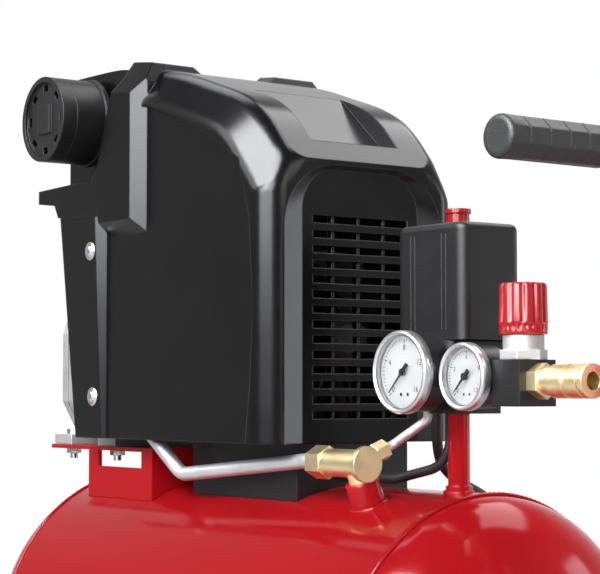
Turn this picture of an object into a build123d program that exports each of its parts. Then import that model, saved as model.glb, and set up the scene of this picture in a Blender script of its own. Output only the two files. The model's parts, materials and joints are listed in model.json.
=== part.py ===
from build123d import *
import math
import os

# Portable oil-lubricated air compressor on a horizontal 24 litre tank.
# Millimetres. X runs along the tank towards the handle, -Y is the gauge side, +Z is up, floor at Z 0.

# Fits between pieces
running_gap = 0.05
loose_gap = 0.3
bolt_gap = 0.4
quarter_turn = 90.0

# Tank
tank_radius = 123.0
tank_wall = 2.0
tank_clearance = 65.0
tank_axis_z = tank_clearance + tank_radius
tank_top_z = tank_axis_z + tank_radius
shell_pump_x = -243.0
shell_length = 412.0
shell_handle_x = shell_pump_x + shell_length
dome_depth = 60.0
seam_step = 0.8

# Pump bracket
sheet = 3.0
bracket_rise = 22.0
bracket_top_z = tank_top_z + bracket_rise
bracket_pump_x = -280.0
bracket_motor_x = -129.0
bracket_half = 62.0
bracket_leg_pump_x = -221.0
bracket_window_height = 12.0
bracket_window_margin = 15.0

# Bolts, all the same size
bolt_radius = 3.0
bolt_head_flats = 10.0
bolt_head_height = 4.0

# Pump
crank_rise = 100.0
crank_axis_z = tank_top_z + crank_rise
cylinder_x = -205.0
cylinder_bore = 47.0
stroke = 40.0
rod_length = 85.0
crankcase_pump_x = -268.0
crankcase_motor_x = -145.0
crankcase_wall = 6.0
bearing_wall = 15.0
crankcase_half = 54.0
crankcase_foot_half = 40.0
deck_half = 40.0
deck_rise = 50.0
deck_z = crank_axis_z + deck_rise
foot_thickness = 8.0
foot_length = 26.0
foot_half_width = 60.0
foot_bolt_y = 50.0
foot_bolt_x = (-265.0, -198.0)
gasket_thickness = 1.0
cover_thickness = 8.0
cover_bolt_circle = 44.0
cover_bolts = 6
cylinder_height = 82.0
cylinder_wall = 8.5
fin_radius = 44.0
fin_thickness = 2.5
fin_count = 9
valve_plate_thickness = 6.0
head_half = 42.0
head_height = 52.0
head_groove_depth = 24.0
head_groove_width = 6.0
head_groove_pitch = 11.0
head_grooves = 3
head_bolt_offset = 34.0
head_bolt_depth = 10.0
piston_height = 32.0
piston_above_pin = 22.0
rod_thickness = 14.0
big_end_radius = 14.0
small_end_radius = 9.0
crank_pin_radius = 8.0
crank_disc_radius = 36.0
crank_disc_thickness = 12.0
shaft_radius = 10.0
oil_plug_radius = 5.0
oil_plug_head_radius = 10.0
oil_plug_head_length = 13.0
oil_plug_stem = 14.0
oil_plug_y = 18.0
oil_plug_rise = 14.0
oil_plug_z = crank_axis_z + oil_plug_rise

# Motor
motor_radius = 63.0
motor_bell_wall = 6.0
stator_pump_x = -100.0
stator_length = 80.0
stator_fan_x = stator_pump_x + stator_length
rotor_radius = 35.0
air_gap = 0.6
winding_radius = 52.0
winding_length = 12.0
rotor_inset = 2.0
end_bell_length = 22.0
end_bell_wall = 6.0
fan_gap = 6.0
fan_length = 18.0
fan_hub_radius = 16.0
fan_radius = 57.0
fan_blades = 9
fan_blade_thickness = 2.0
fan_pitch = 28.0

# Motor cradle under the hood
cradle_half = 48.0
cradle_pump_x = -95.0
cradle_fan_x = 31.0
cradle_overlap = 15.0
cradle_rise = 51.0
cradle_low_z = tank_top_z - cradle_overlap
cradle_high_z = tank_top_z + cradle_rise
cradle_wall = 3.0

# Hood
hood_fan_x = 45.0
hood_lift = 29.0
hood_end_height = 191.0
hood_roof_height = 90.0
hood_low_z = tank_top_z + hood_lift
hood_crease_z = hood_low_z + hood_end_height
hood_roof_z = hood_crease_z + hood_roof_height
hood_rear_x = -253.0
hood_half = 84.0
hood_wall = 3.0
hood_panel_depth = 3.0
hood_end_depth = 5.0
hood_roof_wall = 8.0
hood_corner = 17.0
shoulder_top = 17.0
shoulder_side = 24.0
shoulder_round = 14.0
column_half = 90.0
column_rise = 5.0
column_inner = 32.0
column_ramp = 12.0
column_slope = 10.0
lower_column_half = 88.0
lower_column_x = (-225.0, -163.0)
lower_column_slope = 7.0
shelf_thickness = 10.0
shelf_brace = 13.0
louvre_count = 14
louvre_rise = 19.0
louvre_low_z = hood_low_z + louvre_rise
louvre_pitch = 10.15
louvre_height = 5.0
louvre_half = 41.0
louvre_rib_y = (-22.0, 0.0, 22.0)
louvre_rib_depth = 5.0
louvre_rib_thickness = 2.4
hood_screw_x = -177.0
hood_screw_rises = (31.0, 140.0)
hood_screw_z = [hood_low_z + rise for rise in hood_screw_rises]
hood_screw_radius = 2.5
hood_screw_head_flats = 9.0
hood_screw_head_height = 4.0
hood_screw_depth = 12.0
hood_lug_radius = 8.0

# Air filter
filter_x = -213.0
filter_rise = 33.0
filter_z = deck_z + cylinder_height + valve_plate_thickness + filter_rise
filter_radius = 32.5
filter_face_y = -109.0
filter_cap_length = 12.0
filter_body_length = 25.0
filter_ring_length = 4.0
filter_ring_radius = 34.0
filter_wall = 2.5
filter_neck_radius = 10.0
filter_neck_bore = 7.0
filter_rim = 4.0
filter_sink = 2.5
filter_slots = 8
filter_slot_middle = 24.0
filter_slot_width = 7.0
filter_slot_length = 5.0
filter_badge_width = 18.0
filter_badge_length = 22.0
filter_badge_height = 2.0

# Switch group on its post
post_inset = 29.0
post_x = shell_handle_x - post_inset
post_radius = 7.0
post_bore = 4.5
post_height = 50.0
post_collar_radius = 8.5
post_collar_height = 6.0
manifold_half_x = 16.0
manifold_half_y = 16.0
manifold_height = 15.0
switch_base_z = tank_top_z + post_height + manifold_height
switch_length = 65.0
switch_half_y = 25.0
switch_base_reach = 22.0
switch_base_height = 31.0
switch_cover_height = 74.0
switch_cover_wall = 2.5
switch_edge = 7.0
switch_line_depth = 0.7
switch_line_width = 0.9
switch_line_offsets = (-17.0, -13.0, 13.0, 17.0)
button_radius = 7.5
button_flange_radius = 8.5
button_flange_height = 3.0
button_height = 10.6
button_stem_radius = 5.0
gland_radius = 6.0
gland_length = 12.0
gland_y = 5.0
mains_gland_step = 27.0
motor_gland_step = 14.0
mains_gland_x = post_x - mains_gland_step
motor_gland_x = post_x - motor_gland_step
cord_radius = 3.5

# Check valve on its tilted boss
valve_step = 37.0
valve_x = post_x - valve_step
valve_tilt = 21.0
boss_radius = 11.0
boss_height = 16.0
boss_top_radius = tank_radius + boss_height
valve_stem_length = 12.0
valve_centre_radius = boss_top_radius + valve_stem_length
valve_stem_radius = 8.0
valve_radius = 9.0
valve_reach = 28.0
plug_radius = 11.5
plug_length = 4.0
delivery_radius = 5.0
delivery_wall = 1.0
delivery_nut_flats = 19.0
delivery_nut_length = 14.0
unloader_radius = 3.0
unloader_wall = 0.8
unloader_nut_flats = 12.0
unloader_nut_start = 15.0
unloader_nut_length = 10.0
unloader_port_radius = 5.0

# Gauges
gauge_bezel_length = 7.0
gauge_bezel_wall = 3.0
gauge_lens_inset = 1.0
gauge_lens_thickness = 1.5
gauge_dial_thickness = 1.0
gauge_case_inset = 1.5
tank_gauge_radius = 26.25
tank_gauge_step = 3.0
tank_gauge_rise = 11.0
tank_gauge_x = post_x - tank_gauge_step
tank_gauge_z = switch_base_z + tank_gauge_rise
tank_gauge_face_y = -48.0
outlet_gauge_radius = 21.0
outlet_gauge_step = 43.0
outlet_gauge_rise = 8.0
outlet_gauge_x = post_x + outlet_gauge_step
outlet_gauge_z = switch_base_z + outlet_gauge_rise
outlet_gauge_face_y = -37.0
needle_hub_radius = 2.2
needle_width = 1.6
needle_thickness = 0.8
needle_rest = 45.0
needle_reach_share = 0.78
needle_tail_share = 0.3

# Regulator and coupler
arm_front_y = -12.0
arm_back_y = 8.0
arm_half_height = 10.0
regulator_step = 63.0
regulator_pump_x = post_x + regulator_step
regulator_length = 24.0
regulator_half = 15.0
regulator_y = -14.0
regulator_drop = 10.0
regulator_rise = 18.0
regulator_low_z = switch_base_z - regulator_drop
regulator_high_z = switch_base_z + regulator_rise
bonnet_radius = 12.5
bonnet_flange_flats = 25.5
bonnet_flange_height = 6.0
bonnet_height = 15.0
bonnet_neck_radius = 6.0
bonnet_neck_height = 14.0
knob_radius = 15.0
knob_height = 31.0
knob_flutes = 18
knob_flute_radius = 1.6
coupler_rise = 5.0
coupler_z = switch_base_z + coupler_rise
coupler_hex_flats = 19.0
coupler_hex_length = 8.0
coupler_radius = 8.5
coupler_length = 38.0
coupler_bore = 5.5
coupler_bore_length = 22.0
coupler_lip = 4.0
sleeve_radius = 10.2
sleeve_length = 25.0
sleeve_start = 8.0
sleeve_grooves = 1

# Safety valve at the back of the switch base
safety_radius = 6.5
safety_length = 20.0
safety_hex_flats = 15.0
safety_step = 12.0
safety_rise = 16.0
safety_x = post_x - safety_step
safety_z = switch_base_z + safety_rise
safety_stem_radius = 1.6
safety_stem_length = 8.0
safety_ring_radius = 9.0
safety_wire_radius = 1.3

# Wheels, axle and foot
wheel_radius = 55.0
wheel_inner_y = 99.0
wheel_width = 34.0
tyre_depth = 15.0
rim_wall = 5.0
web_thickness = 8.0
hub_radius = 14.0
axle_inset = 53.0
axle_x = shell_pump_x + axle_inset
axle_radius = 6.0
axle_cap_radius = 9.5
axle_cap_length = 5.0
axle_bracket_half_x = 35.0
axle_bracket_half_y = 60.0
axle_bracket_low_z = 40.0
foot_inset = 39.0
foot_x = shell_handle_x - foot_inset
foot_bracket_half_x = 26.0
foot_bracket_half_y = 40.0
foot_pad_radius = 22.0
foot_pad_height = 27.0

# Handle
handle_reach = 61.0
handle_x = shell_handle_x + dome_depth + handle_reach
handle_y = 10.0
handle_tube_radius = 11.0
handle_tube_wall = 1.5
handle_bend = 45.0
handle_weld_drop = 38.0
handle_rise = 203.0
handle_weld_z = tank_axis_z - handle_weld_drop
handle_bar_z = tank_top_z + handle_rise
bar_radius = 10.0
bar_half = 101.0
grip_radius = 12.5
grip_length = 82.0
grip_cap = 3.0
grip_ribs = 12
grip_rib_depth = 0.6

# Drain valve under the tank
drain_x = -10.0
drain_radius = 8.0
drain_length = 20.0
drain_screw_radius = 9.0
drain_screw_length = 14.0
drain_stem_radius = 3.0
drain_stem_length = 10.0
drain_flutes = 8

# Details of the hood's end panel and roof hollow
end_corner = 45.0
end_ramp = 18.0
end_ramp_overlap = 2.0
louvre_margin = 9.0
scoop_half = 38.0
rear_roof_half = 62.0
hood_screw_proud = 2.0

# Outlines of the hood, as steps back from the louvred end and rises above its crease
roof_line = [(0.0, 0.0), (36.0, 38.0), (90.0, 61.0), (144.0, 77.0), (200.0, 85.0)]
roof_start_way = (-0.65, 0, 0.76)
roof_end_way = (-1, 0, 0)
side_panel_top = [(195.0, 57.0), (150.0, 50.0), (100.0, 35.0), (62.0, 17.0), (32.0, 0.0)]
side_panel_edge = [(19.0, -41.0), (15.0, -100.0), (18.0, -150.0)]
side_panel_foot = 24.0
scoop_line = [(78.0, 57.5), (26.0, 12.0), (12.0, 14.0), (12.0, 40.0), (60.0, 80.0)]
rear_line = [(184.0, 74.0), (191.0, 59.0), (202.0, 29.0), (209.0, 10.0), (217.0, 2.0)]
rear_foot_line = [(248.0, -194.0), (267.0, -23.0)]
shelf_brace_back = 273.0
column_foot = [(208.0, -25.0), (203.0, -41.0), (152.0, -41.0)]
column_crown = [(152.0, 69.0), (162.0, 95.0), (184.0, 110.0)]

# Tube routes
delivery_drop = 18.0
delivery_run = 25.0
delivery_port_y = 30.0
delivery_side_y = 71.0
delivery_dip_run = 56.0
delivery_dip_y = 66.0
delivery_lift = 5.0
delivery_bend = 15.0
unloader_y = -14.0
unloader_reach = 8.0
unloader_rise = 19.0
unloader_back = 10.0
unloader_side = 6.0
unloader_drop = 27.0
unloader_bend = 5.0
lead_radius = 3.2
lead_drop = 36.0
lead_reach = 50.0
lead_lift = 6.0
lead_y = -4.0
lead_bend = 22.0
button_travel = 6.0
manifold_shift = 6.0

# Free mains cord: it leaves the gland, lies round the tank's back and falls to the coil on the floor
cord_exit_x = 108.0
cord_exit_y = 8.0
cord_exit_drop = 26.0
cord_wrap_x = 93.0
cord_wrap_gap = 11.5
cord_wrap_angles = (13.0, 33.5, 54.5, 75.5)
cord_fall = [
    (92.0, 140.0, 165.0),
    (91.0, 144.0, 105.0),
    (91.0, 146.0, 62.0),
    (86.0, 147.0, 32.0),
    (70.0, 146.5, 11.0),
    (44.0, 146.0, 4.0),
]
coil_x = 22.0
coil_y = 186.0
coil_radius = 40.0
coil_columns = 2
coil_layers = 3
mains_plug_radius = 15.0
mains_plug_length = 38.0
mains_sleeve_radius = 6.0
mains_sleeve_length = 24.0
mains_pin_radius = 2.4
mains_pin_length = 19.0
mains_pin_offset = 9.5
cord_bend_share = 0.45


def block(x_span, y_span, z_span):
    """A box given by its three spans."""
    spans = (x_span, y_span, z_span)
    middle = [(span[0] + span[1]) / 2 for span in spans]
    size = [span[1] - span[0] for span in spans]
    return Pos(*middle) * Box(*size)


def rod(start, way, length, radius):
    """A round bar that leaves start along way."""
    along = (Align.CENTER, Align.CENTER, Align.MIN)
    return Plane(origin=start, z_dir=way) * Cylinder(radius, length, align=along)


def ring(start, way, length, outer, inner):
    """A round bar with a bore along its axis."""
    return rod(start, way, length, outer) - rod(start, way, length, inner)


def hexagon(start, way, length, flats):
    """A six-sided bar that leaves start along way."""
    outline = RegularPolygon(flats / 2, 6, major_radius=False)
    return Plane(origin=start, z_dir=way) * extrude(outline, length)


def side_prism(points, y_span):
    """A prism across the object from an outline of (X, Z) points."""
    outline = make_face(Polyline(*[(x, y_span[0], z) for x, z in points], close=True))
    return extrude(outline, y_span[1] - y_span[0], dir=(0, 1, 0))


def end_prism(points, x_span):
    """A prism along the tank from an outline of (Y, Z) points."""
    outline = make_face(Polyline(*[(x_span[0], y, z) for y, z in points], close=True))
    return extrude(outline, x_span[1] - x_span[0], dir=(1, 0, 0))


def plan_prism(points, z_span):
    """An upright prism from an outline of (X, Y) points."""
    outline = make_face(Polyline(*[(x, y, z_span[0]) for x, y in points], close=True))
    return extrude(outline, z_span[1] - z_span[0], dir=(0, 0, 1))


def pipe(path, outer, inner):
    """A tube along a path."""
    section = Plane(origin=path @ 0, z_dir=path % 0) * (Circle(outer) - Circle(inner))
    return sweep(section, path)


def cable(path, radius):
    """A solid cord along a path."""
    return sweep(Plane(origin=path @ 0, z_dir=path % 0) * Circle(radius), path)


def both_sides(solid):
    """A solid and its mirror image across the middle plane."""
    return [solid, mirror(solid, Plane.XZ)]


def group(*solids):
    """Several solids that share one node."""
    return Compound(children=list(solids))


def save(node, shape):
    """Write one node of the object."""
    export_step(shape, f"parts/{node}.step")


def tank_bar(radius):
    """A bar along the tank's axis, as long as the object and more."""
    length = 3 * shell_length
    return rod((shell_pump_x - shell_length, 0, tank_axis_z), (1, 0, 0), length, radius)


def dome(depth, radius):
    """Solid half of an ellipsoid with its rim at X 0 and its crown towards +X."""
    arc = EllipticalCenterArc((0, 0), depth, radius, 0, arc_size=quarter_turn)
    outline = make_face([arc, Line(arc @ 1, (0, 0)), Line((0, 0), arc @ 0)])
    return revolve(outline, Axis.X)


def tank():
    """Rolled shell and its two pressed ends, which meet at a welded seam."""
    start = (shell_pump_x, 0, tank_axis_z)
    shell = ring(start, (1, 0, 0), shell_length, tank_radius, tank_radius - tank_wall)
    end_radius = tank_radius - seam_step
    end = dome(dome_depth, end_radius) - dome(dome_depth - tank_wall, end_radius - tank_wall)
    save("tank_shell", shell)
    handle_end = Pos(shell_handle_x, 0, tank_axis_z) * end
    pump_end = Pos(shell_pump_x, 0, tank_axis_z) * Rot(0, 0, 180) * end
    save("tank_ends", group(pump_end, handle_end))


def foot_bolt_places():
    """Middle points of the four pump foot bolts."""
    return [(x, side * foot_bolt_y) for x in foot_bolt_x for side in (-1, 1)]


def pump_bracket():
    """Pressed saddle that carries the pump above the tank."""
    half = bracket_half
    plate_low = bracket_top_z - sheet
    plate = block((bracket_pump_x, bracket_motor_x), (-half, half), (plate_low, bracket_top_z))
    leg_x = (bracket_leg_pump_x, bracket_motor_x)
    saddle = block(leg_x, (-half, half), (tank_axis_z, plate_low))
    saddle -= block((leg_x[0], leg_x[1] - sheet), (-half + sheet, half - sheet), (tank_axis_z, plate_low))
    window_x = (leg_x[0] + bracket_window_margin, leg_x[1] - bracket_window_margin)
    window_low = plate_low - bracket_window_height
    saddle -= block(window_x, (-2 * half, 2 * half), (window_low, plate_low))
    bracket = plate + (saddle - tank_bar(tank_radius))
    for x, y in foot_bolt_places():
        bracket -= rod((x, y, plate_low - sheet), (0, 0, 1), 3 * sheet, bolt_radius + bolt_gap)
    save("pump_bracket", bracket)


def crankcase_outline(inset):
    """Outline of the crankcase in (Y, Z), pulled in by inset."""
    low = bracket_top_z + foot_thickness
    half = [
        (crankcase_foot_half - inset, low + inset),
        (crankcase_half - inset, low + foot_length),
        (crankcase_half - inset, crank_axis_z + shaft_radius),
        (deck_half - inset, deck_z - inset),
    ]
    return half + [(-y, z) for y, z in reversed(half)]


def cover_bolt_places():
    """Middle points of the cover bolts in (Y, Z)."""
    turns = [math.tau * (step + 0.5) / cover_bolts for step in range(cover_bolts)]
    return [(cover_bolt_circle * math.cos(t), crank_axis_z + cover_bolt_circle * math.sin(t)) for t in turns]


def head_bolt_places():
    """Middle points of the four head bolts in (X, Y)."""
    offset = head_bolt_offset
    return [(cylinder_x + a * offset, b * offset) for a in (-1, 1) for b in (-1, 1)]


def crankcase():
    """Cast housing of the crank with its feet, cylinder deck and motor bell."""
    along = (crankcase_pump_x, crankcase_motor_x)
    body = end_prism(crankcase_outline(0), along)
    cavity_end = crankcase_motor_x - bearing_wall
    body -= end_prism(crankcase_outline(crankcase_wall), (crankcase_pump_x, cavity_end))
    for x in foot_bolt_x:
        span = (x - foot_length / 2, x + foot_length / 2)
        low = bracket_top_z
        body += block(span, (-foot_half_width, foot_half_width), (low, low + foot_thickness))
    bell_start = crankcase_motor_x - motor_bell_wall
    bell_length = stator_pump_x - bell_start
    axis = (1, 0, 0)
    bell = rod((bell_start, 0, crank_axis_z), axis, bell_length, motor_radius)
    hollow = bell_length - motor_bell_wall
    bell -= rod((crankcase_motor_x, 0, crank_axis_z), axis, hollow, motor_radius - motor_bell_wall)
    body += bell
    lug_end = hood_half - hood_panel_depth - hood_wall
    for side in (-1, 1):
        out = (0, side, 0)
        lug_start = crankcase_half - crankcase_wall
        start = (hood_screw_x, side * lug_start, hood_screw_z[0])
        body += rod(start, out, lug_end - lug_start, hood_lug_radius)
        hole = (hood_screw_x, side * (lug_end - hood_screw_depth), hood_screw_z[0])
        body -= rod(hole, out, hood_screw_depth, hood_screw_radius)
    bore = shaft_radius + running_gap
    body -= rod((cavity_end - bearing_wall, 0, crank_axis_z), axis, 4 * bearing_wall, bore)
    deck_hole = (cylinder_x, 0, deck_z - 2 * crankcase_wall)
    body -= rod(deck_hole, (0, 0, 1), 4 * crankcase_wall, cylinder_bore / 2)
    for x, y in foot_bolt_places():
        body -= rod((x, y, bracket_top_z), (0, 0, 1), foot_thickness, bolt_radius + bolt_gap)
    for x, y in head_bolt_places():
        body -= rod((x, y, deck_z - head_bolt_depth), (0, 0, 1), head_bolt_depth, bolt_radius)
    save("crankcase", body)


def crankcase_cover():
    """Gasket and cover on the open end of the crankcase."""
    gasket_x = (crankcase_pump_x - gasket_thickness, crankcase_pump_x)
    cover_x = (gasket_x[0] - cover_thickness, gasket_x[0])
    gasket = end_prism(crankcase_outline(0), gasket_x)
    gasket -= end_prism(crankcase_outline(crankcase_wall), gasket_x)
    cover = end_prism(crankcase_outline(0), cover_x)
    hole_start = (cover_x[0], oil_plug_y, oil_plug_z)
    hole = rod(hole_start, (1, 0, 0), cover_thickness, oil_plug_radius + running_gap)
    save("crankcase_gasket", gasket)
    save("crankcase_cover", cover - hole)
    plug_x = cover_x[0] - loose_gap
    head_start = (plug_x - oil_plug_head_length, oil_plug_y, oil_plug_z)
    plug = rod(head_start, (1, 0, 0), oil_plug_head_length, oil_plug_head_radius)
    plug += rod((plug_x, oil_plug_y, oil_plug_z), (1, 0, 0), oil_plug_stem, oil_plug_radius)
    save("oil_plug", plug)


def bolts():
    """All hexagon bolts of the pump: feet with nuts, cylinder head and crankcase cover."""
    up = (0, 0, 1)
    solids = []
    foot_top = bracket_top_z + foot_thickness
    for x, y in foot_bolt_places():
        bolt = hexagon((x, y, foot_top), up, bolt_head_height, bolt_head_flats)
        length = foot_thickness + sheet + 2 * bolt_head_height
        bolt += rod((x, y, foot_top - length), up, length, bolt_radius)
        nut_z = bracket_top_z - sheet - bolt_head_height
        solids.append(bolt + hexagon((x, y, nut_z), up, bolt_head_height, bolt_head_flats))
    head_top = deck_z + cylinder_height + valve_plate_thickness + head_height
    for x, y in head_bolt_places():
        bolt = hexagon((x, y, head_top), up, bolt_head_height, bolt_head_flats)
        length = head_top - deck_z + head_bolt_depth
        solids.append(bolt + rod((x, y, head_top - length), up, length, bolt_radius))
    cover_x = crankcase_pump_x - gasket_thickness - cover_thickness
    for y, z in cover_bolt_places():
        start = (cover_x - bolt_head_height, y, z)
        solids.append(hexagon(start, (1, 0, 0), bolt_head_height, bolt_head_flats))
    save("pump_bolts", group(*solids))


def cylinder():
    """Finned cylinder on the crankcase deck, with two lugs for the hood."""
    up = (0, 0, 1)
    base = (cylinder_x, 0, deck_z)
    core = cylinder_bore / 2 + cylinder_wall
    body = rod(base, up, cylinder_height, core)
    gap = (cylinder_height - fin_thickness) / (fin_count - 1)
    for step in range(fin_count):
        body += rod((cylinder_x, 0, deck_z + step * gap), up, fin_thickness, fin_radius)
    lug_end = hood_half - hood_panel_depth - hood_wall
    for side in (-1, 1):
        start = (hood_screw_x, 0, hood_screw_z[1])
        body += rod(start, (0, side, 0), lug_end, hood_lug_radius)
        hole = (hood_screw_x, side * (lug_end - hood_screw_depth), hood_screw_z[1])
        body -= rod(hole, (0, side, 0), hood_screw_depth, hood_screw_radius)
    for x, y in head_bolt_places():
        body -= rod((x, y, deck_z), up, cylinder_height, bolt_radius + bolt_gap)
    save("cylinder", body - rod(base, up, cylinder_height, cylinder_bore / 2))


def cylinder_head():
    """Valve plate and grooved head above the cylinder."""
    plate_z = deck_z + cylinder_height
    head_z = plate_z + valve_plate_thickness
    top_z = head_z + head_height
    x_span = (cylinder_x - head_half, cylinder_x + head_half)
    y_span = (-head_half, head_half)
    plate = block(x_span, y_span, (plate_z, head_z))
    head = block(x_span, y_span, (head_z, top_z))
    for step in range(head_grooves):
        middle = (step - (head_grooves - 1) / 2) * head_groove_pitch
        groove_y = (middle - head_groove_width / 2, middle + head_groove_width / 2)
        head -= block(x_span, groove_y, (top_z - head_groove_depth, top_z))
    for x, y in head_bolt_places():
        hole = rod((x, y, plate_z), (0, 0, 1), top_z - plate_z, bolt_radius)
        plate -= hole
        head -= hole
    save("valve_plate", plate)
    save("cylinder_head", head)


def piston_group():
    """Piston with its connecting rod and crank pin, at the bottom of the stroke."""
    pin_z = crank_axis_z - stroke / 2
    wrist_z = pin_z + rod_length
    axis = (1, 0, 0)
    rod_start = cylinder_x - rod_thickness / 2
    slot_half = rod_thickness / 2 + loose_gap
    skirt = (cylinder_x, 0, wrist_z + piston_above_pin - piston_height)
    piston = rod(skirt, (0, 0, 1), piston_height, cylinder_bore / 2 - running_gap)
    slot_top = wrist_z + small_end_radius + loose_gap
    slot_y = (-small_end_radius - loose_gap, small_end_radius + loose_gap)
    piston -= block((cylinder_x - slot_half, cylinder_x + slot_half), slot_y, (skirt[2], slot_top))
    wrist = small_end_radius / 2
    piston += rod((cylinder_x - slot_half, 0, wrist_z), axis, 2 * slot_half, wrist)
    save("piston", piston)
    link = rod((rod_start, 0, wrist_z), axis, rod_thickness, small_end_radius)
    link += rod((rod_start, 0, pin_z), axis, rod_thickness, big_end_radius)
    link += block((rod_start, rod_start + rod_thickness), (-wrist, wrist), (pin_z, wrist_z))
    link -= rod((rod_start, 0, wrist_z), axis, rod_thickness, wrist)
    pin_end = crank_disc_x() - loose_gap
    link += rod((rod_start, 0, pin_z), axis, pin_end - rod_start, crank_pin_radius)
    save("connecting_rod", link)


def crank_disc_x():
    """Pump side of the crank disc."""
    return crankcase_motor_x - bearing_wall - crank_disc_thickness - loose_gap


def rotating_group():
    """Crankshaft with the motor's rotor and the cooling fan on it."""
    axis = (1, 0, 0)
    fan_x = stator_fan_x + end_bell_length + fan_gap
    disc = rod((crank_disc_x(), 0, crank_axis_z), axis, crank_disc_thickness, crank_disc_radius)
    shaft = rod((crank_disc_x(), 0, crank_axis_z), axis, fan_x + fan_length - crank_disc_x(), shaft_radius)
    save("crankshaft", disc + shaft)
    rotor_x = stator_pump_x + rotor_inset
    rotor_length = stator_length - 2 * rotor_inset
    save("rotor", ring((rotor_x, 0, crank_axis_z), axis, rotor_length, rotor_radius, shaft_radius))
    hub = rod((fan_x, 0, crank_axis_z), axis, fan_length, fan_hub_radius)
    blade_half = fan_length / 2
    reach = (fan_hub_radius / 2, fan_radius)
    blade = Pos(0, (reach[0] + reach[1]) / 2, 0) * Rot(0, fan_pitch, 0) * Box(
        fan_length, reach[1] - reach[0], fan_blade_thickness
    )
    middle = Pos(fan_x + blade_half, 0, crank_axis_z)
    for step in range(fan_blades):
        hub += middle * Rot(360 * step / fan_blades, 0, 0) * blade
    save("cooling_fan", hub - rod((fan_x, 0, crank_axis_z), axis, fan_length, shaft_radius))


def motor_housing():
    """Wound stator and the end bell that carries the fan end of the shaft."""
    axis = (1, 0, 0)
    bore = rotor_radius + air_gap
    stator = ring((stator_pump_x, 0, crank_axis_z), axis, stator_length, motor_radius, bore)
    ends = (stator_pump_x - winding_length, 0, crank_axis_z)
    stator += ring(ends, axis, stator_length + 2 * winding_length, winding_radius, bore)
    save("stator", stator)
    bell_x = stator_fan_x
    bell = rod((bell_x, 0, crank_axis_z), axis, end_bell_length, motor_radius)
    inside = end_bell_length - end_bell_wall
    bell -= rod((bell_x, 0, crank_axis_z), axis, inside, motor_radius - motor_bell_wall)
    bell -= rod((bell_x, 0, crank_axis_z), axis, end_bell_length, shaft_radius + running_gap)
    save("motor_end_bell", bell)


def motor_cradle():
    """Moulded cradle between the motor and the tank."""
    along = (cradle_pump_x, cradle_fan_x)
    across = (-cradle_half, cradle_half)
    cradle = block(along, across, (cradle_low_z, cradle_high_z))
    pocket_x = (along[0] + cradle_wall, along[1] - cradle_wall)
    pocket_y = (across[0] + cradle_wall, across[1] - cradle_wall)
    pocket_top = crank_axis_z - motor_radius - cradle_wall
    cradle -= block(pocket_x, pocket_y, (cradle_low_z, pocket_top))
    motor = rod((along[0], 0, crank_axis_z), (1, 0, 0), along[1] - along[0], motor_radius)
    save("motor_cradle", cradle - tank_bar(tank_radius) - motor)


def hood_points(line):
    """Turn steps back from the louvred end and rises above the crease into (X, Z) points."""
    return [(hood_fan_x - back, hood_crease_z + rise) for back, rise in line]


def roof_points(half, setback, drop, rear_x):
    """Points of the hood's roof line from the louvred end to the rear, on one side, pulled in and down."""
    line = [(x - setback, -half, z - drop) for x, z in hood_points(roof_line)]
    return line + [(rear_x, -half, hood_roof_z - drop)]


def hood_prism(half, low_z, rear_x, setback, drop):
    """Body of the hood: its roof line drawn across, with sloping shoulders along both sides."""
    points = roof_points(half, setback, drop, rear_x)
    roof = Spline(*points, tangents=[roof_start_way, roof_end_way])
    rest = Polyline(points[-1], (rear_x, -half, low_z), (points[0][0], -half, low_z), points[0])
    body = extrude(make_face([roof, rest]), 2 * half, dir=(0, 1, 0))
    roof_face = body.faces().filter_by(GeomType.PLANE, reverse=True)[0]
    shoulders = [e for e in roof_face.edges() if abs(abs(e.center().Y) - half) < loose_gap]
    return chamfer(shoulders, shoulder_top, shoulder_side, reference=roof_face)


def end_panel(x, half, top_z, corner):
    """Outline of the sunk louvred panel at one depth."""
    low = hood_low_z - hood_wall
    corners = [(x, -half, low), (x, half, low), (x, half, top_z), (x, -half, top_z)]
    outline = make_face(Polyline(*corners, close=True))
    return fillet(outline.vertices().group_by(Axis.Z)[-1], corner)


def louvred_end(body):
    """Sink the end panel between the corner pillars and cut its louvres."""
    outside_half = hood_half - hood_corner + end_ramp_overlap
    outside = end_panel(hood_fan_x, outside_half, hood_crease_z - hood_wall, end_corner)
    floor_x = hood_fan_x - hood_end_depth
    inside_half = louvre_half + louvre_margin
    inside = end_panel(floor_x, inside_half, hood_crease_z - 2 * hood_wall, end_corner - end_ramp)
    body -= loft([outside, inside])
    inner_x = floor_x - hood_wall
    for step in range(louvre_count):
        z = louvre_low_z + step * louvre_pitch
        z_span = (z - louvre_height / 2, z + louvre_height / 2)
        body -= block((inner_x - hood_wall, hood_fan_x + hood_wall), (-louvre_half, louvre_half), z_span)
    rib_z = (louvre_low_z - louvre_pitch, louvre_low_z + louvre_count * louvre_pitch)
    for y in louvre_rib_y:
        rib_y = (y - louvre_rib_thickness / 2, y + louvre_rib_thickness / 2)
        body += block((inner_x - louvre_rib_depth, inner_x), rib_y, rib_z)
    return body


def side_panel():
    """The sunk side panel as a cutter, from the rear column to the corner pillar."""
    low = hood_low_z - hood_wall
    outline = [(hood_rear_x, low), (hood_rear_x, hood_roof_z - shoulder_side)]
    outline += hood_points(side_panel_top + side_panel_edge)
    outline.append((hood_fan_x - side_panel_foot, low))
    return side_prism(outline, (hood_half - hood_panel_depth, 2 * hood_half))


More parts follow.
